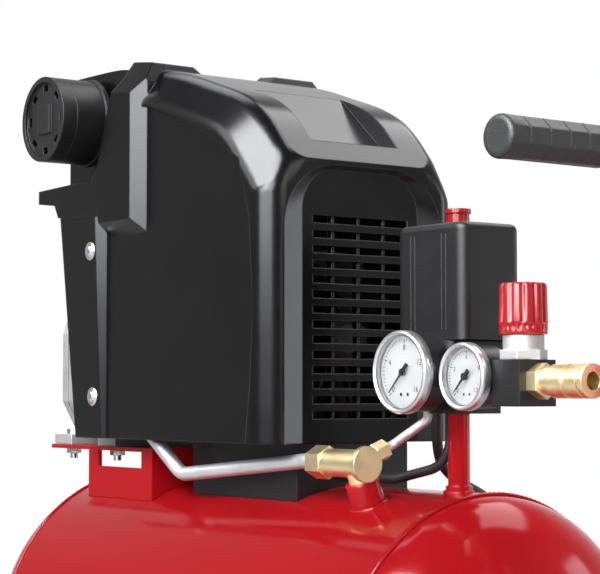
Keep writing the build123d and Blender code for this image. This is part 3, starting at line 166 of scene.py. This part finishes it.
def make_tie():
    """The tie across the far side of the coil."""
    angle = math.radians(tie_angle)
    along = Vector((-math.sin(angle), math.cos(angle), 0)) * tie_width / 2
    out = Vector((math.cos(angle), math.sin(angle), 0))
    middle = Vector((*coil_centre, 0))
    vertices = []
    for far, high in ((0, 0), (1, 0), (1, 1), (0, 1)):
        for grow, side in ((0, -1), (0, 1), (tie_thickness, 1), (tie_thickness, -1)):
            radius = tie_radii[far] + (grow if far else -grow)
            height = tie_heights[high] + (grow if high else 0)
            vertices.append(middle + out * radius + Vector((0, 0, height)) + along * side)
    return add_mesh("cord_tie", vertices, ring_faces(4, 4), "black_plastic")


def make_cord():
    """The free cord as one smooth spline, with its CAD plug on its end."""
    points = cord_start + wrap_points() + cord_fall + coil_points() + cord_end
    curve = bpy.data.curves.new("mains_cord_line", "CURVE")
    curve.dimensions = "3D"
    # The points' radius gives the cord its thickness
    curve.bevel_depth = 1.0
    curve.bevel_resolution = 4
    curve.resolution_u = 8
    curve.use_fill_caps = True
    spline = curve.splines.new("NURBS")
    spline.points.add(len(points) - 1)
    for target, point in zip(spline.points, points):
        target.co = (*[value * MM for value in point], 1.0)
        target.radius = cord_radius * MM
    spline.order_u = 3
    spline.use_endpoint_u = True
    cord = bpy.data.objects.new("mains_cord_line", curve)
    scene.collection.objects.link(cord)
    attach(cord, BASE)
    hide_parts("mains_cord", "mains_coil")
    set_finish(cord, "black_rubber")
    return cord


make_camera()
cord = make_cord()
tie = make_tie()


# Materials
lens_ior = 1.2
least_roughness = 0.02
edge_samples = 6
# Noise values between which the tint changes
tint_span = (0.3, 0.7)
# How much finer the raised grain is than the tint's noise, and its height in metres
fine_grain = 12
bump_height_m = 0.0004
# Finish of each slot; edge is the radius over which shading rounds an edge off
finish_rows = {
    "red_paint": {"colour": (0.53, 0.009, 0.015), "roughness": 0.13, "shade": 0.03, "grain": 25,
                  "rough_spread": 0.02, "edge": 1.5, "gloss": 0.2},
    "red_plastic": {"colour": (0.56, 0.014, 0.018), "roughness": 0.24, "shade": 0.05, "rough_spread": 0.03,
                    "edge": 0.8, "gloss": 0.4},
    "hood_black": {"colour": (0.004, 0.004, 0.005), "roughness": 0.24, "shade": 0.2, "grain": 30,
                   "rough_spread": 0.03, "edge": 1.6, "gloss": 0.32},
    "black_plastic": {"colour": (0.010, 0.010, 0.011), "roughness": 0.42, "shade": 0.2, "bump": 0.15,
                      "edge": 1.0, "gloss": 0.35},
    "black_paint": {"colour": (0.008, 0.008, 0.008), "roughness": 0.5, "shade": 0.2, "bump": 0.2,
                    "gloss": 0.3},
    "cast_aluminium": {"colour": (0.36, 0.36, 0.35), "roughness": 0.62, "metallic": 1.0, "bump": 0.5,
                       "edge": 1.5},
    "tube_aluminium": {"colour": (0.62, 0.63, 0.65), "roughness": 0.48, "metallic": 1.0, "shade": 0.06,
                       "bump": 0.1},
    "iron": {"colour": (0.11, 0.11, 0.115), "roughness": 0.6, "metallic": 0.7, "bump": 0.6, "edge": 0.8},
    "steel": {"colour": (0.6, 0.6, 0.61), "roughness": 0.28, "metallic": 1.0, "bump": 0.1, "edge": 0.5},
    "gasket": {"colour": (0.012, 0.012, 0.012), "roughness": 0.7},
    "brass": {"colour": (0.84, 0.70, 0.41), "roughness": 0.36, "metallic": 1.0, "bump": 0.12, "edge": 0.6},
    "chrome": {"colour": (0.62, 0.62, 0.63), "roughness": 0.34, "metallic": 1.0, "shade": 0.03,
               "rough_spread": 0.04, "edge": 0.8},
    "dial_white": {"colour": (0.83, 0.83, 0.84), "roughness": 0.5, "shade": 0.02},
    "needle_black": {"colour": (0.012, 0.012, 0.012), "roughness": 0.45, "shade": 0.2},
    "black_rubber": {"colour": (0.013, 0.013, 0.014), "roughness": 0.5, "shade": 0.2, "bump": 0.3,
                     "edge": 0.6},
    "tyre": {"colour": (0.017, 0.017, 0.018), "roughness": 0.7, "shade": 0.25, "bump": 0.5, "edge": 1.0},
    "lens": {"colour": (0.97, 0.985, 0.985), "roughness": 0.06, "shade": 0.01, "rough_spread": 0.03},
}


def set_sockets(node, **sockets):
    """Set input sockets of a shader node, with their spaces written as underscores."""
    for name, value in sockets.items():
        node.inputs[name.replace("_", " ")].default_value = value
    return node


def add_noise(tree, place, **sockets):
    """Noise over the surface; the result is its value."""
    noise = set_sockets(tree.nodes.new("ShaderNodeTexNoise"), **sockets)
    tree.links.new(place.outputs["Object"], noise.inputs["Vector"])
    return noise.outputs["Fac"]


def add_map(tree, value, **sockets):
    """Map a value from one span to another."""
    node = set_sockets(tree.nodes.new("ShaderNodeMapRange"), **sockets)
    tree.links.new(value, node.inputs["Value"])
    return node.outputs["Result"]


def add_tint(tree, value, colour, shade):
    """Colour that varies a little with a value."""
    ramp = tree.nodes.new("ShaderNodeValToRGB")
    for stop, position, factor in zip(ramp.color_ramp.elements, tint_span, (1 - shade, 1 + shade)):
        stop.position = position
        stop.color = (*[min(1.0, part * factor) for part in colour], 1)
    tree.links.new(value, ramp.inputs["Fac"])
    return ramp.outputs["Color"]


def add_normal(tree, place, grain, bump, edge):
    """Surface direction with edges rounded off and a fine grain raised, or None for a plain surface."""
    normal = None
    if edge:
        soften = set_sockets(tree.nodes.new("ShaderNodeBevel"), Radius=edge * MM)
        soften.samples = edge_samples
        normal = soften.outputs["Normal"]
    if bump:
        height = add_noise(tree, place, Scale=grain * fine_grain, Detail=3.0)
        raised = set_sockets(tree.nodes.new("ShaderNodeBump"), Strength=bump, Distance=bump_height_m)
        tree.links.new(height, raised.inputs["Height"])
        if normal:
            tree.links.new(normal, raised.inputs["Normal"])
        normal = raised.outputs["Normal"]
    return normal


def make_material(name, colour, roughness, metallic=0.0, grain=60.0, shade=0.12, rough_spread=0.06, bump=0.0,
                  edge=0.0, gloss=0.5):
    """Procedural finish: noise varies the colour and roughness a little and can raise a fine grain."""
    material = bpy.data.materials.new(name)
    material.use_nodes = True
    tree = material.node_tree
    shader = set_sockets(tree.nodes[SHADER], Metallic=metallic, Specular_IOR_Level=gloss)
    place = tree.nodes.new("ShaderNodeTexCoord")
    noise = add_noise(tree, place, Scale=grain, Detail=6.0, Roughness=0.6)
    tree.links.new(add_tint(tree, noise, colour, shade), shader.inputs["Base Color"])
    smoothest = max(least_roughness, roughness - rough_spread)
    roughest = min(1.0, roughness + rough_spread)
    tree.links.new(add_map(tree, noise, To_Min=smoothest, To_Max=roughest), shader.inputs["Roughness"])
    normal = add_normal(tree, place, grain, bump, edge)
    if normal:
        tree.links.new(normal, shader.inputs["Normal"])
    return material


def finish_nodes():
    """Give every CAD node the finish of its slot."""
    for row in frame["record"]["subparts"]:
        mesh = frame["nodes"][row["node"]].data
        mesh.materials.clear()
        mesh.materials.append(finishes[row["material_slot"]])


finishes = {name: make_material(name, **row) for name, row in finish_rows.items()}
set_sockets(finishes["lens"].node_tree.nodes[SHADER], Transmission_Weight=1.0, IOR=lens_ior)
finish_nodes()


# Shapes made of rings of points


def turned(steps, section):
    """Closed shape made of rings; section gives the points of the ring at an angle."""
    rings = [section(math.tau * step / steps) for step in range(steps)]
    return [point for ring in rings for point in ring], ring_faces(steps, len(rings[0]))


def flipped(shape):
    """The same shape with its faces turned over; each face keeps its first corner."""
    vertices, faces = shape
    return vertices, [(face[0], *face[:0:-1]) for face in faces]


def joined(shapes):
    """Several shapes as one."""
    vertices = []
    faces = []
    for more_vertices, more_faces in shapes:
        start = len(vertices)
        faces += [[start + corner for corner in face] for face in more_faces]
        vertices += more_vertices
    return vertices, faces


def lathe(profile, x, face_y, z, steps=72):
    """Ring turned about an axis along Y from (radius, depth) points."""
    def section(angle):
        across = math.cos(angle)
        up = math.sin(angle)
        return [(x + radius * across, face_y + depth, z + radius * up) for radius, depth in profile]

    return turned(steps, section)


def smooth(piece):
    """Shade a mesh piece smoothly."""
    for polygon in piece.data.polygons:
        polygon.use_smooth = True
    return piece


# Details of the two gauges: bezel, printed scale and needle
gauge_zero = 225.0
gauge_sweep = 270.0
gauge_rows = [
    {"name": "tank", "body": "tank_pointer", "x": 137.0, "z": 387.0, "face_y": -48.0, "radius": 26.25,
     "numbers": (0, 4, 8, 12, 16)},
    {"name": "outlet", "body": "outlet_pointer", "x": 183.0, "z": 384.0, "face_y": -37.0, "radius": 21.0,
     "numbers": (0, 3, 6, 9, 12)},
]
bezel_wall = 3.0
bezel_length = 7.0
# Distance in from the rim and depth along the rolled front of a bezel
bezel_roll = [(0.0, 2.2), (0.3, 1.0), (0.9, 0.3), (1.6, 0.0), (2.2, 0.3)]
bezel_lip = 0.4
bezel_lip_depth = 1.1
dial_depth = 6.0
dial_gap = 0.1
lens_depth = 2.5
print_lift = 0.06
print_depth = dial_depth - print_lift
ticks = 40
ticks_to_major = 10
tick_half = 0.24
major_half = 0.39
dot_steps = 12
# Shares of the dial's radius
tick_rim = 0.9
tick_length = 0.06
major_length = 0.11
number_height = 0.22
number_circle = 0.66
dot_aside = 0.14
dot_drop = 0.6
dot_radius = 0.05
# Share of the dial's radius along the needle, and its half width there
needle_outline = [(-0.30, 1.3), (-0.08, 1.3), (0.06, 0.7), (0.78, 0.15)]
needle_front = lens_depth + 0.9
needle_back = needle_front + 0.7
hub_radius = 2.3
pin_radius = 1.0
hub_front = needle_front - 0.3
hub_back = needle_back + 0.6
pin_front = needle_front - 0.6
hub_steps = 24


def dial_radius(row):
    """Radius of the visible dial of a gauge."""
    return row["radius"] - bezel_wall


def dial_point(row, turned_by, radius):
    """Printed point on a dial, at an angle from zero that runs clockwise as seen from the front."""
    angle = math.radians(gauge_zero - turned_by)
    x = row["x"] + radius * math.cos(angle)
    return (x, row["face_y"] + print_depth, row["z"] + radius * math.sin(angle))


def bezel(row):
    """Bezel of one gauge with a rolled lip."""
    inner = dial_radius(row)
    lip = inner - bezel_lip
    back = dial_depth - dial_gap
    profile = [(row["radius"], bezel_length)]
    profile += [(row["radius"] - inset, depth) for inset, depth in bezel_roll]
    profile += [(inner, bezel_lip_depth), (lip, bezel_lip_depth)]
    profile += [(lip, back), (inner, back), (inner, bezel_length)]
    return lathe(profile, row["x"], row["face_y"], row["z"])


def add_bezels():
    """The bezels of both gauges in one piece."""
    piece = smooth(add_mesh("gauge_bezel_rings", *joined(bezel(row) for row in gauge_rows), "chrome"))
    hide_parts("gauge_bezels")
    return piece


def tick(row, step):
    """One printed tick of a dial."""
    major = step % ticks_to_major == 0
    inner = dial_radius(row)
    outside = tick_rim * inner
    inside = outside - inner * (major_length if major else tick_length)
    half = math.degrees((major_half if major else tick_half) / inner)
    middle = gauge_sweep * step / ticks
    corners = ((outside, -half), (outside, half), (inside, half), (inside, -half))
    return [dial_point(row, middle + aside, radius) for radius, aside in corners], [(0, 1, 2, 3)]


def dot(row, side):
    """One of the two dark dots low on a dial."""
    inner = dial_radius(row)
    points = []
    for step in range(dot_steps):
        angle = math.tau * step / dot_steps
        x = row["x"] + inner * (dot_aside * side + dot_radius * math.cos(angle))
        z = row["z"] + inner * (dot_radius * math.sin(angle) - dot_drop)
        points.append((x, row["face_y"] + print_depth, z))
    return points, [list(range(dot_steps))]


def add_scale(row):
    """Printed ticks and dots of one dial, a little above its face."""
    shapes = [tick(row, step) for step in range(ticks + 1)]
    shapes += [dot(row, side) for side in (-1, 1)]
    return add_mesh(row["name"] + "_scale", *joined(shapes), "needle_black")


def number_shape(row, index):
    """One printed number of a dial as flat faces."""
    text = bpy.data.curves.new("number", "FONT")
    text.body = str(row["numbers"][index])
    text.size = dial_radius(row) * number_height
    text.align_x = "CENTER"
    text.align_y = "CENTER"
    carrier = bpy.data.objects.new("number", text)
    flat = bpy.data.meshes.new_from_object(carrier)
    turned_by = gauge_sweep * index / (len(row["numbers"]) - 1)
    x, y, z = dial_point(row, turned_by, dial_radius(row) * number_circle)
    vertices = [(x + vertex.co.x, y, z + vertex.co.y) for vertex in flat.vertices]
    faces = [list(polygon.vertices) for polygon in flat.polygons]
    bpy.data.meshes.remove(flat)
    bpy.data.objects.remove(carrier)
    bpy.data.curves.remove(text)
    return vertices, faces


def add_numbers(row):
    """Printed numbers of one dial as one flat mesh."""
    shapes = [number_shape(row, index) for index in range(len(row["numbers"]))]
    return add_mesh(row["name"] + "_numbers", *joined(shapes), "needle_black")


def blade(row):
    """Tapered blade of a needle with a broad tail, at the zero of its scale."""
    near = [(share * dial_radius(row), half) for share, half in needle_outline]
    outline = near + [(along, -half) for along, half in reversed(near)]
    angle = math.radians(gauge_zero)
    way = (math.cos(angle), math.sin(angle))
    vertices = []
    for depth in (needle_front, needle_back):
        for along, side in outline:
            x = row["x"] + along * way[0] - side * way[1]
            z = row["z"] + along * way[1] + side * way[0]
            vertices.append((x, row["face_y"] + depth, z))
    count = len(outline)
    faces = [list(range(count)), list(range(2 * count - 1, count - 1, -1))]
    for index in range(count):
        after = (index + 1) % count
        faces.append((index, index + count, after + count, after))
    return vertices, faces


def add_needle(row):
    """Needle of one gauge with its round hub and pin."""
    profile = [(hub_radius, hub_front), (hub_radius, hub_back), (POLE, hub_back), (POLE, pin_front),
               (pin_radius, pin_front), (pin_radius, hub_front)]
    hub = lathe(profile, row["x"], row["face_y"], row["z"], hub_steps)
    vertices, faces = joined([blade(row), hub])
    piece = add_mesh(row["name"] + "_pointer_blade", vertices, faces, "needle_black", row["body"])
    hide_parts(row["name"] + "_needle")
    return piece


# Screws of the hood
screw_x = -177.0
# Height of a screw, and distance of the hood's face there from the middle plane
screw_faces = [(371.0, 84.74), (480.0, 87.33)]
screw_shank = 2.5
screw_depth = 10.0
screw_steps = 32
# Radius and rise above the hood's face over the pan head and its washer
screw_head = [
    (POLE, 2.8), (0.5, 2.8), (2.2, 2.65), (3.8, 2.1), (4.7, 1.0), (4.7, 0.6), (6.6, 0.6), (7.0, 0.3),
    (7.0, -0.05),
]


def add_screws():
    """Pan-head screws with washers in the hood's columns."""
    outline = screw_head + [(screw_shank, screw_head[-1][1])]
    outline += [(screw_shank, -screw_depth), (POLE, -screw_depth)]
    shapes = []
    for z, face in screw_faces:
        for side in (-1, 1):
            profile = [(radius, side * rise) for radius, rise in outline]
            shapes.append(lathe(profile, screw_x, side * face, z, screw_steps))
    piece = smooth(add_mesh("hood_screw_heads", *joined(shapes), "steel"))
    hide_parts("hood_screws")
    return piece


# Weld beads of the tank
boss_axis_x = 103.0
boss_tilt = 21.0
boss_radius = 11.0
boss_steps = 44
post_axis_x = 140.0
post_weld_radius = 8.5
post_steps = 36
seams = {"pump_seam_weld": -243.0, "handle_seam_weld": 169.0}
seam_steps = 400
bead_radius = 1.3
bead_ripple = 0.14
bead_breadth = 1.3
bead_sides = 8


def add_bead(name, loop):
    """A rippled weld bead along a closed loop of points."""
    points = [Vector(point) for point in loop]
    count = len(points)
    vertices = []
    for index, point in enumerate(points):
        along = (points[(index + 1) % count] - points[index - 1]).normalized()
        out = Vector((0, point.y, point.z - tank_axis_z)).normalized()
        side = along.cross(out).normalized()
        radius = bead_radius * (1 + bead_ripple * math.cos(math.pi * index))
        for step in range(bead_sides):
            angle = math.tau * step / bead_sides
            vertices.append(point + radius * (math.cos(angle) * out + bead_breadth * math.sin(angle) * side))
    return smooth(add_mesh(name, vertices, ring_faces(count, bead_sides), "red_paint"))


def stub_loop(x, tilt, radius, steps):
    """Loop where a round stub that stands on the tank's shell meets it."""
    turn = math.radians(tilt)
    out = Vector((0, -math.sin(turn), math.cos(turn)))
    across = Vector((0, math.cos(turn), math.sin(turn)))
    loop = []
    for step in range(steps):
        angle = math.tau * step / steps
        sideways = radius * math.sin(angle)
        height = math.sqrt(tank_radius**2 - sideways**2)
        loop.append(Vector((x + radius * math.cos(angle), 0, tank_axis_z)) + sideways * across + height * out)
    return loop


def seam_loop(x):
    """Loop round the tank's shell at one of its ends."""
    turns = [math.tau * step / seam_steps for step in range(seam_steps)]
    return [(x, tank_radius * math.sin(turn), tank_axis_z + tank_radius * math.cos(turn)) for turn in turns]


# Grips of the handle
grip_x = 290.0
grip_z = 514.0
grip_inner_y = 22.0
grip_outer_y = 104.0
grip_radius = 12.5
grip_flat = 11.7
grip_flats = 8
flat_runout = 9.0
grip_bore = 10.0
# Chamfer of the inner edge: inwards and along the grip
grip_edge = (0.7, 0.8)
grip_lip = 3.0
lip_steps = 4
grip_steps = 96
# Rings on the grip's flat end
end_radii = (grip_radius - grip_lip - 0.8, 0.6, POLE)
groove_pitch = 15.0
groove_half = 0.55
groove_rim = 0.3
groove_depth = 0.7
grooves = 5


def groove_outline(middle):
    """Radius and distance from the middle plane across one groove."""
    low = grip_radius - groove_depth
    near = [(grip_radius, groove_half + groove_rim), (grip_radius, groove_half), (low, groove_half / 2)]
    outline = [(radius, middle - aside) for radius, aside in near]
    return outline + [(radius, middle + aside) for radius, aside in reversed(near)]


def grip_outline():
    """Radius and distance from the middle plane along one grip, as one closed outline."""
    outline = [(grip_bore, grip_inner_y), (grip_radius - grip_edge[0], grip_inner_y)]
    outline.append((grip_radius, grip_inner_y + grip_edge[1]))
    for step in range(grooves, 0, -1):
        outline += groove_outline(grip_outer_y - groove_pitch * step)
    for step in range(lip_steps + 1):
        turn = math.radians(90 * step / lip_steps)
        radius = grip_radius - grip_lip * (1 - math.cos(turn))
        outline.append((radius, grip_outer_y - grip_lip * (1 - math.sin(turn))))
    outline += [(radius, grip_outer_y) for radius in end_radii]
    cap = grip_outer_y - grip_lip
    return outline + [(POLE, cap), (grip_bore, cap)]


def flat_inset(angle, y):
    """How far the flats of a grip lie below its round outline; they run out before its end."""
    share = math.tau / grip_flats
    aside = abs((angle + share / 2) % share - share / 2)
    fade = min(1.0, max(0.0, (grip_outer_y - y - grip_lip) / flat_runout))
    return fade * max(0.0, grip_radius - grip_flat / math.cos(aside))


def grip(side):
    """Grip on one side of the handle, with eight flats and narrow grooves round it."""
    outline = grip_outline()

    def section(angle):
        # The mirrored side is turned the other way, so that its faces look outwards too
        turn = side * angle
        points = []
        for radius, y in outline:
            r = radius - (flat_inset(turn, y) if radius > grip_bore else 0)
            points.append((grip_x + r * math.cos(turn), side * y, grip_z + r * math.sin(turn)))
        return points

    return turned(grip_steps, section)


def add_grips():
    """The rubber grips in one piece."""
    piece = smooth(add_mesh("grip_sleeves", *joined([grip(-1), grip(1)]), "black_rubber"))
    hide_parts("handle_grips")
    return piece


# Regulator knob: a plain rim, a row of notches and broad ribs above them
knob_axis = (215.0, -14.0)
knob_low_z = 409.3
knob_steps = 192
knob_ribs = 12
knob_notches = 24
# A higher power makes the valleys narrower, a higher level makes the notches wider
valley_power = 6
notch_level = -0.2
# Radius, height above the rim, depth between the ribs and depth of the notches
knob_rows = [
    (POLE, 14.3, 0, 0), (6.05, 14.3, 0, 0), (6.05, 0, 0, 0), (14.2, 0, 0, 0), (14.6, 0.4, 0, 0),
    (14.6, 2.9, 0, 0), (14.6, 3.0, 0, 0.9), (14.6, 6.0, 0, 0.9), (14.6, 6.1, 0, 0), (15.0, 6.8, 0, 0),
    (15.0, 7.6, 1.4, 0), (14.5, 29.0, 1.5, 0), (13.9, 30.4, 1.0, 0), (12.8, 31.0, 0.4, 0),
    (11.0, 31.0, 0, 0), (0.6, 31.0, 0, 0), (POLE, 31.0, 0, 0),
]


def knob_section(angle):
    """The knob's outline at an angle: narrow valleys between the ribs and square notches."""
    valley = math.sin(knob_ribs * angle / 2) ** valley_power
    notched = math.cos(knob_notches * angle) < notch_level
    points = []
    for radius, rise, rib, notch in knob_rows:
        r = radius - rib * valley - (notch if notched else 0)
        x = knob_axis[0] + r * math.cos(angle)
        points.append((x, knob_axis[1] + r * math.sin(angle), knob_low_z + rise))
    return points


def add_knob():
    """The pressure knob as one closed mesh with the socket for its spindle."""
    vertices, faces = flipped(turned(knob_steps, knob_section))
    piece = smooth(add_mesh("ribbed_knob", vertices, faces, "red_plastic", "pressure_knob"))
    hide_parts("regulator_knob")
    return piece


made = [cord, tie, add_bezels(), add_screws(), add_grips(), add_knob()]
made.append(add_bead("boss_weld", stub_loop(boss_axis_x, boss_tilt, boss_radius, boss_steps)))
made.append(add_bead("post_weld", stub_loop(post_axis_x, 0, post_weld_radius, post_steps)))
for name, x in seams.items():
    made.append(add_bead(name, seam_loop(x)))
for row in gauge_rows:
    made += [add_scale(row), add_numbers(row), add_needle(row)]
for piece in made:
    piece.data.materials.append(finishes[piece["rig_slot"]])


# Room: floor, lamps and background, in metres and watts
floor_radius = 2.15
floor_drop = 0.0005
floor_steps = 128
# The white wall stands in this direction
wall_heading = (-0.804, 0.595, 0.0)
wall_turn = (0.4, 0.9)
wall_levels = (0.3, 1.0)
ceiling_heights = (0.45, 0.7)
ceiling_levels = (1.0, 0.25)
# Strength of the room as a light and as it is seen
room_levels = (0.8, 1.0)
# Colour of the lamps that show only in reflections
gloss_colour = (0.94, 0.96, 1.0)
lamps = [
    {"name": "key", "place": (0.55, -1.36, 1.35), "aim": (0, 0, 0.5), "size": (0.6, 0.6), "power": 18},
    {"name": "sheen", "place": (0.88, -1.55, 1.05), "aim": (0.03, -0.08, 0.5), "size": (2.0, 0.85),
     "power": 90, "gloss_only": True},
    {"name": "shoulder", "place": (-0.92, 0.1, 1.93), "aim": (-0.05, -0.07, 0.59), "size": (0.8, 0.7),
     "power": 5, "gloss_only": True},
    {"name": "corner", "place": (0.31, -1.11, 1.71), "aim": (0.035, -0.075, 0.525), "size": (1.7, 0.6),
     "power": 90, "gloss_only": True},
    {"name": "ramp", "place": (0.73, 1.5, 0.5), "aim": (0.041, -0.052, 0.43), "size": (0.4, 0.9),
     "power": 5, "gloss_only": True},
    {"name": "left", "place": (-0.9, -1.5, 1.5), "aim": (0, 0, 0.3), "size": (0.9, 0.9), "power": 12},
    {"name": "top", "place": (0.05, 1.0, 1.95), "aim": (0, 0, 0.5), "size": (1.4, 1.0), "power": 20},
    {"name": "side", "place": (1.9, 0.6, 0.9), "aim": (0, 0, 0.42), "size": (0.8, 1.2), "power": 8},
]


def make_floor():
    """Plain pale round floor."""
    turns = [math.tau * step / floor_steps for step in range(floor_steps)]
    rim = [(floor_radius * math.cos(turn), floor_radius * math.sin(turn), 0) for turn in turns]
    mesh = bpy.data.meshes.new("floor")
    mesh.from_pydata(rim, [], [list(range(floor_steps))])
    floor = bpy.data.objects.new("floor", mesh)
    floor.location.z = -floor_drop
    scene.collection.objects.link(floor)
    mesh.materials.append(make_material("floor_pale", (0.8, 0.8, 0.8), 0.6, grain=4.0, shade=0.01))


def area_light(name, place, aim, size, power, gloss_only=False):
    """A rectangular soft lamp that points at a place, or one that shows only in reflections."""
    data = bpy.data.lights.new(name, "AREA")
    data.shape = "RECTANGLE"
    data.size, data.size_y = size
    data.energy = power
    light = bpy.data.objects.new(name, data)
    light.matrix_world = aimed(place, Vector(aim) - Vector(place))
    if gloss_only:
        data.color = gloss_colour
        light.visible_diffuse = False
        light.visible_transmission = False
    scene.collection.objects.link(light)


def add_math(tree, operation, first, second):
    """Larger or product of two values, as the operation says."""
    node = tree.nodes.new("ShaderNodeMath")
    node.operation = operation
    tree.links.new(first, node.inputs[0])
    tree.links.new(second, node.inputs[1])
    return node.outputs["Value"]


def add_span(tree, value, source, target):
    """Map a value from one pair of ends to another."""
    return add_map(tree, value, From_Min=source[0], From_Max=source[1], To_Min=target[0], To_Max=target[1])


def make_world():
    """Studio room: a white wall behind the object, grey elsewhere and a dark ceiling, softer as a light."""
    world = bpy.data.worlds.new("studio")
    world.use_nodes = True
    tree = world.node_tree
    background = tree.nodes["Background"]
    background.inputs["Color"].default_value = (1.0, 1.0, 1.0, 1.0)
    place = tree.nodes.new("ShaderNodeTexCoord")
    facing = tree.nodes.new("ShaderNodeVectorMath")
    facing.operation = "DOT_PRODUCT"
    facing.inputs[1].default_value = wall_heading
    tree.links.new(place.outputs["Generated"], facing.inputs[0])
    parts = tree.nodes.new("ShaderNodeSeparateXYZ")
    tree.links.new(place.outputs["Generated"], parts.inputs["Vector"])
    path = tree.nodes.new("ShaderNodeLightPath")
    seen = path.outputs["Is Camera Ray"]
    for other in ("Is Glossy Ray", "Is Transmission Ray"):
        seen = add_math(tree, "MAXIMUM", seen, path.outputs[other])
    level = add_span(tree, seen, (0.0, 1.0), room_levels)
    walls = add_span(tree, facing.outputs["Value"], wall_turn, wall_levels)
    ceiling = add_span(tree, parts.outputs["Z"], ceiling_heights, ceiling_levels)
    for factor in (walls, ceiling):
        level = add_math(tree, "MULTIPLY", level, factor)
    tree.links.new(level, background.inputs["Strength"])
    scene.world = world


make_floor()
make_world()
for row in lamps:
    area_light(**row)
